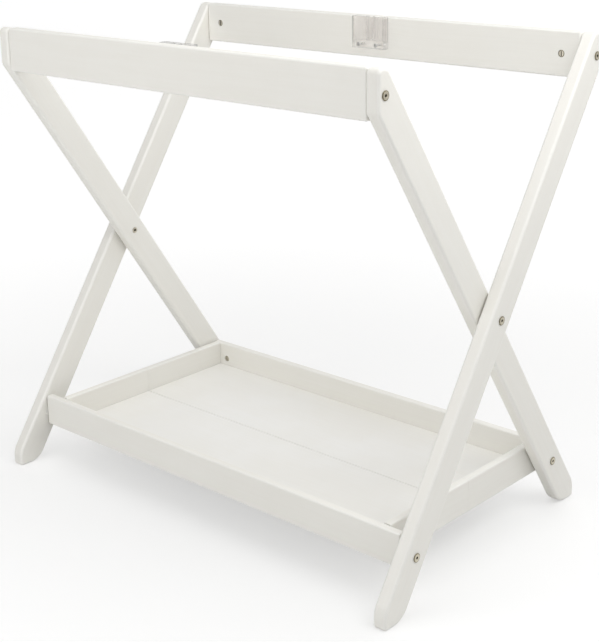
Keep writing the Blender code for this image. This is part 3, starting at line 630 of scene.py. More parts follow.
def switch_shader(tree, ray, shader, other, output="Material Output"):
    """Uses another shader for one kind of ray."""
    path = add(tree, "ShaderNodeLightPath")
    mix = add(tree, "ShaderNodeMixShader")
    tree.links.new(path.outputs[ray], mix.inputs["Fac"])
    tree.links.new(shader.outputs[0], mix.inputs[1])
    tree.links.new(other.outputs[0], mix.inputs[2])
    tree.links.new(mix.outputs[0], tree.nodes[output].inputs["Surface"])


def shared(make):
    """Makes a material when its name is first asked for, and finds it after that."""
    def find_or_make(name, *values):
        return bpy.data.materials.get(name) or make(name, *values)
    return find_or_make


@shared
def painted(name, turn, look, base, grain=1.0):
    """Satin paint over timber, whose grain runs along the turned pattern's X."""
    finish, tree, shader, place = new_finish(name, turn)
    wood = effect(tree, "timber_grain", place)
    film = effect(tree, "paint_film", place)
    # lighter along the rounded edges: a painted highlight
    edge_highlight = effect(tree, "painted_light_mark", place, Mark=attribute(tree, "edge"), Breakup_Scale=130.0, Breakup=0.5)
    thin = math_node(tree, "MULTIPLY", wood["Streaks"], grain * look.grain * look.grain_tone)
    drift = math_node(tree, "MULTIPLY", film["Drift"], look.tone_drift)
    body = blend_colours(tree, math_node(tree, "ADD", thin, drift), base, look.shade)
    edge = math_node(tree, "MULTIPLY", edge_highlight["Mask"], look.edge_tone)
    tree.links.new(blend_colours(tree, edge, body, look.edge), shader.inputs["Base Color"])
    rough = between(tree, film["Drift"], look.gloss - look.gloss_drift, look.gloss + look.gloss_drift)
    pitted = math_node(tree, "MULTIPLY", wood["Pores"], look.pore_roughness)
    tree.links.new(math_node(tree, "ADD", rough, pitted), shader.inputs["Roughness"])
    streaks = math_node(tree, "MULTIPLY", wood["Streaks"], -grain * look.grain)
    pores = math_node(tree, "MULTIPLY", wood["Pores"], -grain * look.grain * look.pore_depth)
    peel = math_node(tree, "MULTIPLY", film["Peel"], look.peel)
    height = math_node(tree, "ADD", math_node(tree, "ADD", streaks, pores), peel)
    relief(tree, shader, height, strength=0.55, distance=0.0003)
    return finish


def paint_along(direction, lean=0.0):
    """The paint for a board by the way that its grain runs."""
    look = bpy.context.scene.stand_paint
    turns = {"x": (0.0, 0.0, 0.0), "y": (0.0, 0.0, -math.pi / 2), "outer": (lean, math.pi / 2, 0.0),
             "inner": (-lean, math.pi / 2, 0.0)}
    if direction == "panel":
        return painted("painted_floor_panel", turns["x"], look, look.panel, look.panel_grain)
    return painted(f"painted_timber_{direction}", turns[direction], look, look.light)


@shared
def plated(name, look, dark, bright, roughness, mark_name):
    """Plated metal that is darker where it is tarnished, takes a second colour where a mark says so, and is
    darkest in recesses marked deep: the second colour is a painted sheen on bolt heads and a painted shade
    below a nut's end, and the darkest is painted shade.
    """
    finish, tree, shader, place = new_finish(name)
    shader.inputs["Metallic"].default_value = 1.0
    metal = effect(tree, "plated_metal", place)
    marked = effect(tree, "painted_light_mark", place, Mark=attribute(tree, mark_name), Breakup_Scale=420.0,
                    Breakup=0.4)["Mask"]
    cloudy = blend_colours(tree, math_node(tree, "MULTIPLY", metal["Cloud"], look.tarnish), dark,
                           darker(dark, look.tarnish_shade))
    face = blend_colours(tree, marked, cloudy, bright)
    # recesses marked deep take a much darker colour: painted shade
    tree.links.new(blend_colours(tree, attribute(tree, "deep"), face, darker(dark, look.recess_shade)),
                   shader.inputs["Base Color"])
    bright_end, dull_end = roughness - 0.07, roughness + 0.09
    tree.links.new(between(tree, metal["Cloud"], bright_end, dull_end), shader.inputs["Roughness"])
    relief(tree, shader, metal["Grit"], strength=0.25, distance=0.00005)
    return finish


def metal_finish(name):
    """One of the three plated metals."""
    look = bpy.context.scene.stand_fittings
    # each metal's second colour goes where its mark says: a painted sheen on the bolts' heads, a painted
    # shade on the barrel nuts below their ends
    values = {"antique_bronze": (look.bronze, look.painted_sheen_bronze, look.bronze_roughness, "rub"),
              "antique_bronze_nut": (look.nut, look.bronze, look.bronze_roughness, "slot"),
              "plated_steel": (look.zinc, darker(look.zinc, 0.9), look.zinc_roughness, "rub")}
    return plated(name, look, *values[name])


@shared
def nylon(name):
    """Dull white nylon, a little uneven."""
    look = bpy.context.scene.stand_fittings
    finish, tree, shader, place = new_finish(name)
    film = effect(tree, "paint_film", place, Peel_Scale=900.0, Drift_Scale=160.0)
    tree.links.new(blend_colours(tree, film["Drift"], look.nylon, darker(look.nylon, 0.93)),
                   shader.inputs["Base Color"])
    tree.links.new(between(tree, film["Drift"], 0.42, 0.54), shader.inputs["Roughness"])
    relief(tree, shader, film["Peel"], strength=0.2, distance=0.0001)
    return finish


@shared
def beech(name):
    """Bare wood of the dowels, with finer grain than the boards'."""
    look = bpy.context.scene.stand_paint
    finish, tree, shader, place = new_finish(name)
    wood = effect(tree, "timber_grain", place, Across=900.0, Along=40.0)
    tree.links.new(blend_colours(tree, wood["Streaks"], look.beech, darker(look.beech, 0.78)),
                   shader.inputs["Base Color"])
    tree.links.new(between(tree, wood["Pores"], 0.56, 0.68), shader.inputs["Roughness"])
    relief(tree, shader, wood["Streaks"], strength=0.3, distance=0.0002)
    return finish


@shared
def clear_plastic(name):
    """Clear plastic that shows what is behind it and throws a faint shadow."""
    look = bpy.context.scene.stand_sockets
    finish, tree, shader, place = new_finish(name)
    shader.inputs["Transmission Weight"].default_value = 1.0
    shader.inputs["IOR"].default_value = 1.30
    shader.inputs["Alpha"].default_value = look.body
    film = effect(tree, "paint_film", place, Peel_Scale=340.0, Drift_Scale=55.0)
    tree.links.new(blend_colours(tree, film["Drift"], look.tint, darker(look.tint, 0.97)),
                   shader.inputs["Base Color"])
    tree.links.new(between(tree, film["Drift"], look.roughness * 0.6, look.roughness * 1.5),
                   shader.inputs["Roughness"])
    relief(tree, shader, film["Peel"], strength=0.10, distance=0.0001)
    shadow = add(tree, "ShaderNodeBsdfTransparent")
    shadow.inputs["Color"].default_value = (*darker(look.tint, look.passes), 1.0)
    switch_shader(tree, "Is Shadow Ray", shader, shadow)
    return finish


def studio_floor():
    """A pale floor that lights the stand; the camera sees it white, with light shadows near the stand."""
    look = bpy.context.scene.stand_studio
    finish, tree, shader, place = new_finish("studio_floor")
    film = effect(tree, "paint_film", place, Peel_Scale=90.0, Drift_Scale=0.8)
    seen = add(tree, "ShaderNodeBsdfPrincipled")
    warm_white = (1.0, 1.0, 0.994)
    for target, shade in ((shader, look.bounce), (seen, look.floor)):
        pale = darker(warm_white, shade)
        tree.links.new(blend_colours(tree, film["Drift"], pale, darker(pale, 0.985)),
                       target.inputs["Base Color"])
        tree.links.new(between(tree, film["Drift"], 0.62, 0.70), target.inputs["Roughness"])
    away = add(tree, "ShaderNodeVectorMath", operation="LENGTH")
    tree.links.new(place, away.inputs[0])
    near, far = 0.1, 2.0        # metres between which the floor's glow grows
    tree.links.new(blend_colours(tree, stretch_range(tree, away.outputs["Value"], near, far),
                                 [look.glow] * 3, [look.far_glow] * 3), seen.inputs["Emission Color"])
    seen.inputs["Emission Strength"].default_value = 1.0
    switch_shader(tree, "Is Camera Ray", shader, seen)
    return finish


# steps

def leg_corners(sizes, low, high):
    """A leg's lean, and its six corners in (y, z), each with the radius of its rounding."""
    top_half, foot_half, height = high.y, -low.y, high.z
    spread = top_half - sizes.top_flat + foot_half - sizes.foot_flat
    lean = math.atan2(spread, height) + math.asin(sizes.leg_width / math.hypot(spread, height))
    level_half = sizes.leg_width / 2 / math.cos(lean)
    cross = (foot_half - sizes.foot_flat + level_half) / math.tan(lean)
    top_cut = cross + (top_half - level_half) / math.tan(lean)
    foot_cut = cross + (level_half - foot_half) / math.tan(lean)
    heel = (sizes.foot_flat - foot_half, 0.0)
    return lean, (((-foot_half, 0.0), sizes.foot_corner), (heel, sizes.foot_ease),
                  ((top_half, top_cut), sizes.side_ease), ((top_half, height), sizes.top_corner),
                  ((top_half - sizes.top_flat, height), sizes.top_ease),
                  ((-foot_half, foot_cut), sizes.foot_ease))


def leg_shape(bm, sizes, low, high, to_back, bores):
    """A straight leg, both ends cut level and upright, drilled where its bolts pass; gives its lean."""
    lean, corners = leg_corners(sizes, low, high)
    ring = [bm.verts.new((low.x, y * to_back, z)) for (y, z), _ in corners]
    side = bm.faces.new(ring)
    swept = bmesh.ops.extrude_face_region(bm, geom=[side])["geom"]
    bmesh.ops.translate(bm, vec=(high.x - low.x, 0, 0),
                        verts=[part for part in swept if isinstance(part, bmesh.types.BMVert)])
    bmesh.ops.recalc_face_normals(bm, faces=bm.faces)
    places = [vert.co.copy() for vert in ring]
    for i, (_, radius) in enumerate(corners):
        here, before, after = places[i], places[i - 1], places[(i + 1) % len(places)]
        reach = radius / math.tan((before - here).angle(after - here) / 2)
        across = [edge for edge in bm.edges
                  if all((vert.co - here).cross(Vector((1, 0, 0))).length < SAME for vert in edge.verts)]
        bmesh.ops.bevel(bm, geom=across, offset=reach, offset_type="OFFSET", segments=CORNER_STEPS,
                        profile=0.5, affect="EDGES", clamp_overlap=False, material=-1)
    rims = [edge for edge in bm.edges if abs(edge.verts[0].co.x - edge.verts[1].co.x) < SAME]
    round_over(bm, rims, sizes.leg_round, sizes.round_steps)
    bmesh.ops.recalc_face_normals(bm, faces=bm.faces)
    pairs = []
    for way in (-1, 1):
        wall = wall_of(bm, (way, 0, 0))
        discs = [disc_on(bm, wall, at, radius) for at, radius in bores]
        let_in(bm, wall, discs)
        pairs.append(discs)
    for near, far in zip(*pairs):
        open_through(bm, near, far)
    return lean


class BASSINET_OT_legs(Operator):
    """Builds the four crossing legs"""
    bl_idname = "bassinet_stand.legs"
    bl_label = "Legs"

    def execute(self, context):
        sizes = context.scene.stand_sizes
        for kind, to_back in (("outer", 1), ("inner", -1)):
            for side, _ in SIDES:
                node = f"{kind}_leg_{side}"
                low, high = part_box(node)
                if to_back < 0:
                    low.y, high.y = -high.y, -low.y
                bolts = {"outer": ("back_rail_bolt", "crossing_bolt", "front_pivot_bolt"),
                         "inner": ("front_rail_bolt", "crossing_sleeve_nut", "back_pivot_bolt")}[kind]
                bores = []
                for bolt in bolts:
                    at = middle(f"{bolt}_{side}")
                    bores.append((at, (sizes.sleeve if "sleeve" in bolt else sizes.bolt) + TOUCH))
                bm = bmesh.new()
                lean = leg_shape(bm, sizes, low, high, to_back, bores)
                piece(bm, node, "painted", body_of(node), paint_along(kind, lean))
        return {"FINISHED"}


def nut_bores(bm, wall, nuts):
    """Round faces in a board's inner wall for its barrel nuts, and how deep each goes."""
    made = []
    for nut in nuts:
        low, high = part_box(nut)
        radius = (high.x - low.x) / 2 + TOUCH
        made.append((disc_on(bm, wall, middle(nut), radius + EASE), high.y - low.y + 2 * TOUCH))
    return made


class BASSINET_OT_rails(Operator):
    """Builds the two top rails"""
    bl_idname = "bassinet_stand.rails"
    bl_label = "Rails"

    def execute(self, context):
        sizes = context.scene.stand_sizes
        for tag, way in HALVES:
            node = f"{tag}_rail"
            low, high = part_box(node)
            bm = bmesh.new()
            slab(bm, low, high, sizes.rail_round, sizes.round_steps)
            wall = wall_of(bm, (0, -way, 0))
            bores = nut_bores(bm, wall, [f"{node}_barrel_nut_{side}" for side, _ in SIDES])
            for side, _ in SIDES:
                at = middle(f"{tag}_socket_screw_{side}")
                bores.append((disc_on(bm, wall, at, sizes.rail_hole, HOLE_STEPS), sizes.rail_hole_deep))
            let_in(bm, wall, [face for face, _ in bores])
            for face, depth in bores:
                sink(bm, face, depth, EASE)
            piece(bm, node, "painted", body_of(node), paint_along("x"))
        return {"FINISHED"}


def strip_on(wall, low, high):
    """Corners of a level strip in a wall's plane, from the ends' coordinates."""
    offset = wall.verts[0].co
    if abs(wall.normal.y) > LOOKS:
        return [(low[0], offset.y, low[1]), (high[0], offset.y, low[1]), (high[0], offset.y, high[1]),
                (low[0], offset.y, high[1])]
    return [(offset.x, low[0], low[1]), (offset.x, high[0], low[1]), (offset.x, high[0], high[1]),
            (offset.x, low[0], high[1])]


class BASSINET_OT_shelf_boards(Operator):
    """Builds the shelf's front, back and end boards"""
    bl_idname = "bassinet_stand.shelf_boards"
    bl_label = "Shelf boards"

    def execute(self, context):
        sizes = context.scene.stand_sizes
        for tag, way in HALVES:
            body = HALF_BODY[tag]
            floor_low, floor_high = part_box(f"shelf_{tag}_floor")
            groove_low = floor_low.z - TOUCH
            groove_high = floor_high.z - sizes.panel_step + TOUCH
            reach = floor_high.x + TOUCH
            node = f"shelf_{tag}_board"
            low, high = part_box(node)
            bm = bmesh.new()
            slab(bm, low, high, sizes.board_round, sizes.round_steps)
            wall = wall_of(bm, (0, -way, 0))
            bores = nut_bores(bm, wall, [f"shelf_{tag}_barrel_nut_{side}" for side, _ in SIDES])
            groove = outline_on(bm, strip_on(wall, (-reach, groove_low), (reach, groove_high)))
            bores.append((groove, sizes.tongue))
            let_in(bm, wall, [face for face, _ in bores])
            for face, depth in bores:
                sink(bm, face, depth, 0.0 if face is groove else EASE)
            for side, hand in SIDES:
                end = wall_of(bm, (hand, 0, 0))
                at = middle(f"{tag}_pivot_washer_{side}")
                mouth = disc_on(bm, end, at, sizes.bolt + TOUCH)
                let_in(bm, end, [mouth])
                sink(bm, mouth, sizes.board_bore)
            piece(bm, node, "painted", body, paint_along("x"))
            for side, hand in SIDES:
                node = f"shelf_{tag}_end_{side}"
                low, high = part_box(node)
                seam, back = inner_outer(low.y, high.y, way)
                past = Vector((0, sizes.board_round + abs(seam), 0))
                bm = bmesh.new()
                slab(bm, low - past, high + past, sizes.board_round, sizes.round_steps)
                cut_at(bm, (0, way * TOUCH / 2, 0), (0, -way, 0), drop=True)
                cut_at(bm, (0, back + sizes.back_reach * (way > 0), 0), (0, way, 0), drop=True)
                bmesh.ops.recalc_face_normals(bm, faces=bm.faces)
                wall = wall_of(bm, (-hand, 0, 0))
                ends = sorted((seam + way * sizes.groove_stop, back - way * sizes.groove_margin))
                groove = outline_on(bm, strip_on(wall, (ends[0], groove_low), (ends[1], groove_high)))
                let_in(bm, wall, [groove])
                sink(bm, groove, sizes.tongue)
                piece(bm, node, "painted", body, paint_along("y"))
        return {"FINISHED"}


class BASSINET_OT_shelf_floor(Operator):
    """Builds the shelf's two floor panels and the battens under their seam"""
    bl_idname = "bassinet_stand.shelf_floor"
    bl_label = "Shelf floor"

    def execute(self, context):
        sizes = context.scene.stand_sizes
        for tag, way in HALVES:
            body = HALF_BODY[tag]
            node = f"shelf_{tag}_floor"
            low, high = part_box(node)
            seam, back = inner_outer(low.y, high.y, way)
            inset = back - way * sizes.tongue
            bm = bmesh.new()
            slab(bm, (low.x + sizes.tongue, min(seam, inset), low.z),
                 (high.x - sizes.tongue, max(seam, inset), high.z))
            shoulder = high.z - sizes.panel_step
            cut_at(bm, (0, 0, shoulder), (0, 0, 1))
            cut_at(bm, (0, seam + way * sizes.tongue_stop, 0), (0, 1, 0))
            tongues = []
            for face in bm.faces:
                at = face.calc_center_median()
                sideways = abs(face.normal.x) > LOOKS and abs(at.y - seam) > sizes.tongue_stop
                if at.z < shoulder and (sideways or face.normal.y * way > LOOKS):
                    tongues.append(face)
            for face in bmesh.ops.extrude_discrete_faces(bm, faces=tongues)["faces"]:
                bmesh.ops.translate(bm, vec=face.normal * (sizes.tongue - TOUCH), verts=face.verts)
            rim = [edge for edge in bm.edges if all(abs(vert.co.z - high.z) < SAME for vert in edge.verts)
                   and not edge.is_boundary and edge.calc_face_angle(0.0) > STEEP]
            round_over(bm, rim, sizes.panel_round, FINE_STEPS)
            piece(bm, node, "painted", body, paint_along("panel"))
            node = f"shelf_{tag}_batten"
            low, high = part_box(node)
            bm = bmesh.new()
            slab(bm, low, high, sizes.batten_round, FINE_STEPS)
            piece(bm, node, "painted", body, paint_along("x"))
        return {"FINISHED"}


class BASSINET_OT_sockets(Operator):
    """Builds the two clear sockets on the rails"""
    bl_idname = "bassinet_stand.sockets"
    bl_label = "Clear sockets"

    def execute(self, context):
        sizes = context.scene.stand_sizes
        for tag, way in HALVES:
            node = f"{tag}_socket"
            low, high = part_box(node)
            bm = bmesh.new()
            slab(bm, low, high, sizes.socket_round, FINE_STEPS)
            mouth = wall_of(bm, (0, 0, 1))
            near, far = inner_outer(low.y, high.y, way)
            near += way * sizes.socket_wall
            far -= way * sizes.socket_wall
            tip = far - way * sizes.guide_deep
            reach = high.x - sizes.socket_wall
            plan = [(-reach, near), (reach, near), (reach, far)]
            for at in (sizes.guide_at, -sizes.guide_at):
                right, left = at + sizes.guide_wide / 2, at - sizes.guide_wide / 2
                plan += [(right, far), (right, tip), (left, tip), (left, far)]
            plan.append((-reach, far))
            hollow = outline_on(bm, [(x, y, high.z) for x, y in plan])
            let_in(bm, mouth, [hollow])
            sink(bm, hollow, high.z - low.z - sizes.socket_sill, sizes.small_ease)
            pairs = []
            for facing in (-way, way):
                wall = wall_of(bm, (0, facing, 0))
                discs = [disc_on(bm, wall, middle(f"{node}_screw_{side}"), sizes.socket_hole, HOLE_STEPS)
                         for side, _ in SIDES]
                let_in(bm, wall, discs)
                pairs.append(discs)
            for one, other in zip(*pairs):
                open_through(bm, one, other)
            piece(bm, node, "moulded", body_of(node), clear_plastic("clear_moulding"))
        return {"FINISHED"}


class BASSINET_OT_bolts(Operator):
    """Builds the bronze connector bolts of the rails, the crossing and the shelf"""
    bl_idname = "bassinet_stand.bolts"
    bl_label = "Connector bolts"

    def execute(self, context):
        sizes = context.scene.stand_sizes
        bevel = sizes.head_bevel
        for name in ("back_rail_bolt", "front_rail_bolt", "crossing_bolt", "front_pivot_bolt",
                     "back_pivot_bolt"):
            for side, hand in SIDES:
                node = f"{name}_{side}"
                low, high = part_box(node)
                tip, top = inner_outer(low.x, high.x, hand)
                head = (high.z - low.z) / 2
                high_head = sizes.head_high
                centre = middle(node)
                origin = Vector((top - hand * high_head, centre.y, centre.z))
                axis = Vector((hand, 0, 0))
                shank = abs(top - tip) - high_head
                dish = high_head - sizes.head_dish
                levels = (dish, dish, high_head, high_head, high_head - bevel / 2)
                profile = [(level, head * part) for level, part in zip(levels, HEAD_RINGS)]
                profile += [(high_head - bevel * 1.5, head - bevel), (high_head - bevel * 3, head),
                            (bevel, head), (0.0, head - bevel), (0.0, sizes.bolt),
                            (-shank + sizes.bolt_tip, sizes.bolt), (-shank, sizes.bolt - sizes.bolt_tip),
                            (-shank, 0.0)]
                bm = bmesh.new()
                lathe(bm, profile, origin, axis, sizes.turn_steps)
                sink(bm, six_sided(bm, origin + axis * dish, axis, sizes.key), sizes.key_deep, EASE)
                # the middle of the head takes the lighter bronze: a painted sheen
                mark(bm, "rub", lambda co: (co - origin).dot(axis) > dish - bevel / 2
                     and Vector((0, co.y - origin.y, co.z - origin.z)).length < head * HEAD_SHEEN)
                mark_recess_shade(bm, origin, axis, sizes.key, dish)
                piece(bm, node, "bronze", body_of(node), metal_finish("antique_bronze"),
                      TURNED_SHARP)
        return {"FINISHED"}


class BASSINET_OT_barrel_nuts(Operator):
    """Builds the slotted barrel nuts in the rails and the shelf boards"""
    bl_idname = "bassinet_stand.barrel_nuts"
    bl_label = "Barrel nuts"

    def execute(self, context):
        sizes = context.scene.stand_sizes
        ease = sizes.small_ease
        end_face = 0.0002       # depth down to which a nut's end keeps its own colour; below it the rim and side take the darker bronze, a painted shade
        recess_margin = 0.0010  # ring at a nut's side that is left out of the painted shade of its slot's inside
        for name, way in (("back_rail_barrel_nut", 1), ("front_rail_barrel_nut", -1),
                          ("shelf_back_barrel_nut", 1), ("shelf_front_barrel_nut", -1)):
            for side, _ in SIDES:
                node = f"{name}_{side}"
                low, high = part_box(node)
                radius = (high.x - low.x) / 2
                centre = middle(node)
                origin = Vector((centre.x, inner_outer(low.y, high.y, way)[0], centre.z))
                axis = Vector((0, -way, 0))
                deep = high.y - low.y
                profile = [(-down, radius - inward) for down, inward in NUT_CROWN]
                profile += [(ease - deep, radius), (-deep, radius - ease), (-deep, 0.0)]
                bm = bmesh.new()
                lathe(bm, profile, origin, axis, sizes.turn_steps)
                wide, high_half = sizes.slot_width / 2, radius - sizes.slot_margin
                corners = ((-wide, -high_half), (wide, -high_half), (wide, high_half), (-wide, high_half))
                slot = outline_on(bm, [origin + Vector((x, 0, z)) for x, z in corners])
                close_round(bm, slot, axis)
                sink(bm, slot, sizes.slot_deep)
                # rim, side and slot below the end face take the darker bronze: a painted shade of the gap
                # round the nut
                mark(bm, "slot", lambda co: (origin - co).dot(axis) > end_face)
                mark_recess_shade(bm, origin, axis, radius - recess_margin, 0.0)
                piece(bm, node, "bronze", body_of(node), metal_finish("antique_bronze_nut"),
                      TURNED_SHARP)
        return {"FINISHED"}


class BASSINET_OT_sleeves(Operator):
    """Builds the crossing's sleeve nuts and all the washers"""
    bl_idname = "bassinet_stand.sleeves"
    bl_label = "Sleeve nuts and washers"

    def execute(self, context):
        sizes = context.scene.stand_sizes
        bore, ease = sizes.bolt + TOUCH, sizes.small_ease
        floor, cone = sizes.sleeve_floor, sizes.sleeve_cone
        side_ease = 0.0001      # how much narrower a sleeve nut's head is at its underside
        for side, hand in SIDES:
            node = f"crossing_sleeve_nut_{side}"
            low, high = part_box(node)
            head, tip = inner_outer(low.x, high.x, hand)
            centre = middle(node)
            radius = (high.z - low.z) / 2
            high_head = sizes.sleeve_high
            origin = Vector((head + hand * high_head, centre.y, centre.z))
            shank = abs(tip - head) - high_head
            profile = [(high_head - down, radius - inward) for down, inward in SLEEVE_CROWN]
            profile += [(0.0, radius - side_ease), (0.0, sizes.sleeve), (-shank, sizes.sleeve),
                        (-shank, bore), (-floor - cone, bore), (-floor, 0.0)]
            bm = bmesh.new()
            axis = Vector((-hand, 0, 0))
            lathe(bm, profile, origin, axis, sizes.turn_steps)
            key = six_sided(bm, origin + axis * high_head, axis, sizes.sleeve_key)
            sink(bm, key, sizes.sleeve_key_deep, EASE)
            # the whole top of the head takes the lighter bronze: a painted sheen
            mark(bm, "rub", lambda co: (co - origin).dot(axis) > high_head - ease)
            mark_recess_shade(bm, origin, axis, sizes.sleeve_key, high_head)
            piece(bm, node, "bronze", body_of(node), metal_finish("antique_bronze"),
                  TURNED_SHARP)
            for name in ("crossing_washer", "front_pivot_washer", "back_pivot_washer"):
                node = f"{name}_{side}"
                low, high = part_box(node)
                radius, half = (high.z - low.z) / 2, (high.x - low.x) / 2
                profile = [(-half, bore), (-half, radius - ease), (ease - half, radius),
                           (half - ease, radius), (half, radius - ease), (half, bore)]
                bm = bmesh.new()
                lathe(bm, profile, middle(node), (1, 0, 0), sizes.turn_steps, closed=True)
                piece(bm, node, "nylon", body_of(node), nylon("moulded_nylon"),
                      TURNED_SHARP)
        return {"FINISHED"}


def screw_shape(bm, seat, axis, head, rise, shank, reach, steps):
    """A pan-headed screw with a cross recess; axis points out of the head."""
    axis = Vector(axis)
    side = axis.orthogonal().normalized()
    up = axis.cross(side)
    profile = [(rise * high, head * wide) for high, wide in SCREW_CROWN]
    profile += [(0.0, shank), (-reach + shank, shank), (-reach, 0.0)]
    lathe(bm, profile, seat, axis, steps)
    arm, thin, deep = head * 0.56, head * 0.12, rise * 0.75     # reach, half width and depth of the cross
    plan = [(arm, -thin), (arm, thin), (thin, thin), (thin, arm), (-thin, arm), (-thin, thin), (-arm, thin),
            (-arm, -thin), (-thin, -thin), (-thin, -arm), (thin, -arm), (thin, -thin)]
    cross = outline_on(bm, [Vector(seat) + axis * rise + side * a + up * b for a, b in plan])
    close_round(bm, cross, axis)
    sink(bm, cross, deep)


class BASSINET_OT_screws(Operator):
    """Builds the screws of the sockets and of the hinges"""
    bl_idname = "bassinet_stand.screws"
    bl_label = "Screws"

    def execute(self, context):
        sizes = context.scene.stand_sizes
        finish = metal_finish("plated_steel")
        rise, shank = sizes.screw_rise, sizes.screw_shank
        for tag, way in HALVES:
            for side, hand in SIDES:
                node = f"{tag}_socket_screw_{side}"
                low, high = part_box(node)
                top, tip = inner_outer(low.y, high.y, way)
                centre = middle(node)
                seat = Vector((centre.x, top + way * rise, centre.z))
                bm = bmesh.new()
                screw_shape(bm, seat, (0, -way, 0), (high.z - low.z) / 2, rise, shank,
                            abs(tip - top) - rise, sizes.turn_steps * 2 // 3)
                piece(bm, node, "steel", body_of(node), finish, TURNED_SHARP)
                leaf = f"shelf_hinge_{side}_{tag}_leaf"
                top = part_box(leaf)[1].z
                for place, step in (("inner", -hand), ("outer", hand)):
                    seat = Vector((middle(leaf).x + step * sizes.leaf_screw_apart / 2,
                                   way * sizes.leaf_screw_at, top - sizes.leaf))
                    bm = bmesh.new()
                    screw_shape(bm, seat, (0, 0, -1), sizes.leaf_screw, sizes.leaf_screw_rise, shank,
                                sizes.leaf_screw_long, sizes.turn_steps // 2)
                    piece(bm, f"{leaf}_{place}_screw", "steel", HALF_BODY[tag], finish,
                          TURNED_SHARP)
        return {"FINISHED"}


class BASSINET_OT_joinery(Operator):
    """Finishes the hinges and the dowels and pins inside the joints"""
    bl_idname = "bassinet_stand.joinery"
    bl_label = "Hinges and hidden joinery"

    def execute(self, context):
        steel = metal_finish("plated_steel")
        finishes = {"dowel": beech("bare_beech"), "pin": steel, "leaf": steel}
        for name, obj in frame["nodes"].items():
            for word, finish in finishes.items():
                if word in name.split("_"):
                    obj.material_slots[0].link = "OBJECT"
                    obj.material_slots[0].material = finish
        return {"FINISHED"}


def studio_sky(look):
    """Soft light from overhead and from three sides; the camera sees it white."""
    world = bpy.data.worlds.new("studio_sky")
    world.use_nodes = True
    tree = world.node_tree
    sky = tree.nodes["Background"]
    seen = add(tree, "ShaderNodeBackground")
    where = add(tree, "ShaderNodeTexCoord")
    parts = add(tree, "ShaderNodeSeparateXYZ")
    tree.links.new(where.outputs["Generated"], parts.inputs[0])
    front = math_node(tree, "MULTIPLY", parts.outputs["Y"], -1.0)
    total = None
    for way, strength in ((parts.outputs["Z"], look.overhead), (parts.outputs["Y"], look.behind),
                          (front, look.ahead), (parts.outputs["X"], look.aside)):
        facing = math_node(tree, "MAXIMUM", way, 0.0)
        soft = math_node(tree, "MULTIPLY", math_node(tree, "MULTIPLY", facing, facing), strength)
        total = soft if total is None else math_node(tree, "ADD", total, soft)
    blur = 0.05         # half height of the soft border between sky and ground
    upper = stretch_range(tree, parts.outputs["Z"], -blur, blur)
    tree.links.new(math_node(tree, "MULTIPLY", total, upper), sky.inputs["Strength"])
    for shader in (sky, seen):
        shader.inputs["Color"].default_value = (1.0, 1.0, 1.0, 1.0)
    switch_shader(tree, "Is Camera Ray", sky, seen, "World Output")
    return world


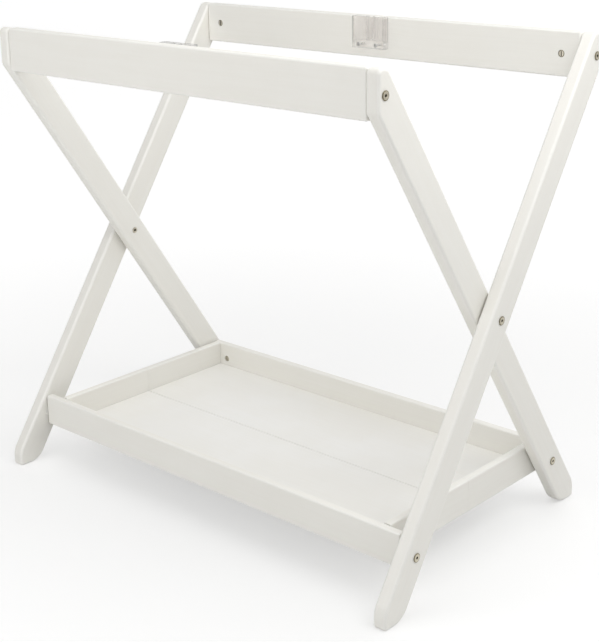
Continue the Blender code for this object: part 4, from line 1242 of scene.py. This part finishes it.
class BASSINET_OT_studio(Operator):
    """Builds the floor, the light and the camera"""
    bl_idname = "bassinet_stand.studio"
    bl_label = "Studio"

    def execute(self, context):
        scene = context.scene
        look = scene.stand_studio
        floor_half = 40.0
        bm = bmesh.new()
        bmesh.ops.create_grid(bm, x_segments=8, y_segments=8, size=floor_half)
        mesh = bpy.data.meshes.new("studio_floor")
        bm.to_mesh(mesh)
        bm.free()
        mesh.materials.append(studio_floor())
        floor = bpy.data.objects.new("studio_floor", mesh)
        scene.collection.objects.link(floor)
        scene.world = studio_sky(look)
        for name, power, size, place, aim in (
                ("side_light", look.side_light, 1.0, (1.15, -0.2, 1.5), (0.2, 0.0, 0.6)),
                ("near_light", look.near_light, 0.5, (0.95, 0.15, 1.15), (0.4, 0.15, 0.6)),
                ("inner_light", look.inner_light, 0.9, (0.0, -0.2, 1.5), (-0.4, 0.1, 0.1)),
                ("front_light", look.front_light, 1.5, (-0.3, -1.6, 1.0), (0.0, 0.0, 0.5))):
            light = bpy.data.lights.new(name, "AREA")
            light.energy = power
            light.size = size
            lamp = bpy.data.objects.new(name, light)
            lamp.location = place
            lamp.rotation_euler = (Vector(place) - Vector(aim)).to_track_quat("Z", "Y").to_euler()
            lamp.visible_camera = False
            scene.collection.objects.link(lamp)
        camera = bpy.data.cameras.new("photograph_camera")
        camera.lens = look.lens
        camera.sensor_width = 36.0
        camera.sensor_fit = "AUTO"
        camera.shift_y = look.rise
        camera.clip_end = floor_half * 5
        eye = bpy.data.objects.new("photograph_camera", camera)
        azimuth, elevation = look.azimuth, look.elevation
        level = math.cos(elevation)
        back = Vector((math.sin(azimuth) * level, -math.cos(azimuth) * level, math.sin(elevation)))
        turn = back.to_track_quat("Z", "Y").to_matrix().to_4x4() @ Matrix.Rotation(look.roll, 4, "Z")
        eye.matrix_world = Matrix.Translation(Vector(look.target) + back * look.distance) @ turn
        scene.collection.objects.link(eye)
        scene.camera = eye
        scene.view_settings.view_transform = "Standard"
        return {"FINISHED"}


STEPS = (BASSINET_OT_legs, BASSINET_OT_rails, BASSINET_OT_shelf_boards, BASSINET_OT_shelf_floor,
         BASSINET_OT_sockets, BASSINET_OT_bolts, BASSINET_OT_barrel_nuts, BASSINET_OT_sleeves,
         BASSINET_OT_screws, BASSINET_OT_joinery, BASSINET_OT_studio)


class BASSINET_PT_stand(Panel):
    """Lists the stand's building steps and what a user would change"""
    bl_idname = "BASSINET_PT_stand"
    bl_label = "Bassinet Stand"
    bl_space_type = "VIEW_3D"
    bl_region_type = "UI"
    bl_category = "Bassinet Stand"

    def draw(self, context):
        column = self.layout.column(align=True)
        for step in STEPS:
            column.operator(step.bl_idname)
        for label, name in SETTINGS:
            box = self.layout.box()
            box.label(text=label)
            settings = getattr(context.scene, name)
            for key in settings.__annotations__:
                box.prop(settings, key)


SETTINGS = (("Sizes", "stand_sizes"), ("Paint", "stand_paint"), ("Fittings", "stand_fittings"),
            ("Sockets", "stand_sockets"), ("Studio", "stand_studio"))
SETTING_TYPES = (StandSizes, PaintLook, FittingLook, SocketLook, StudioLook)


def register():
    """Adds the stand's classes, and its settings to every scene."""
    for kind in (*SETTING_TYPES, *STEPS, BASSINET_PT_stand):
        bpy.utils.register_class(kind)
    for (_, name), kind in zip(SETTINGS, SETTING_TYPES):
        setattr(bpy.types.Scene, name, PointerProperty(type=kind))


def unregister():
    """Takes the settings and the classes away again."""
    for _, name in SETTINGS:
        delattr(bpy.types.Scene, name)
    for kind in reversed((*SETTING_TYPES, *STEPS, BASSINET_PT_stand)):
        bpy.utils.unregister_class(kind)


def main():
    """Builds the whole scene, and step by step."""
    register()
    steps = bpy.ops.bassinet_stand
    steps.legs()
    steps.rails()
    steps.shelf_boards()
    steps.shelf_floor()
    steps.sockets()
    steps.bolts()
    steps.barrel_nuts()
    steps.sleeves()
    steps.screws()
    steps.joinery()
    steps.studio()


if __name__ == "__main__":
    main()
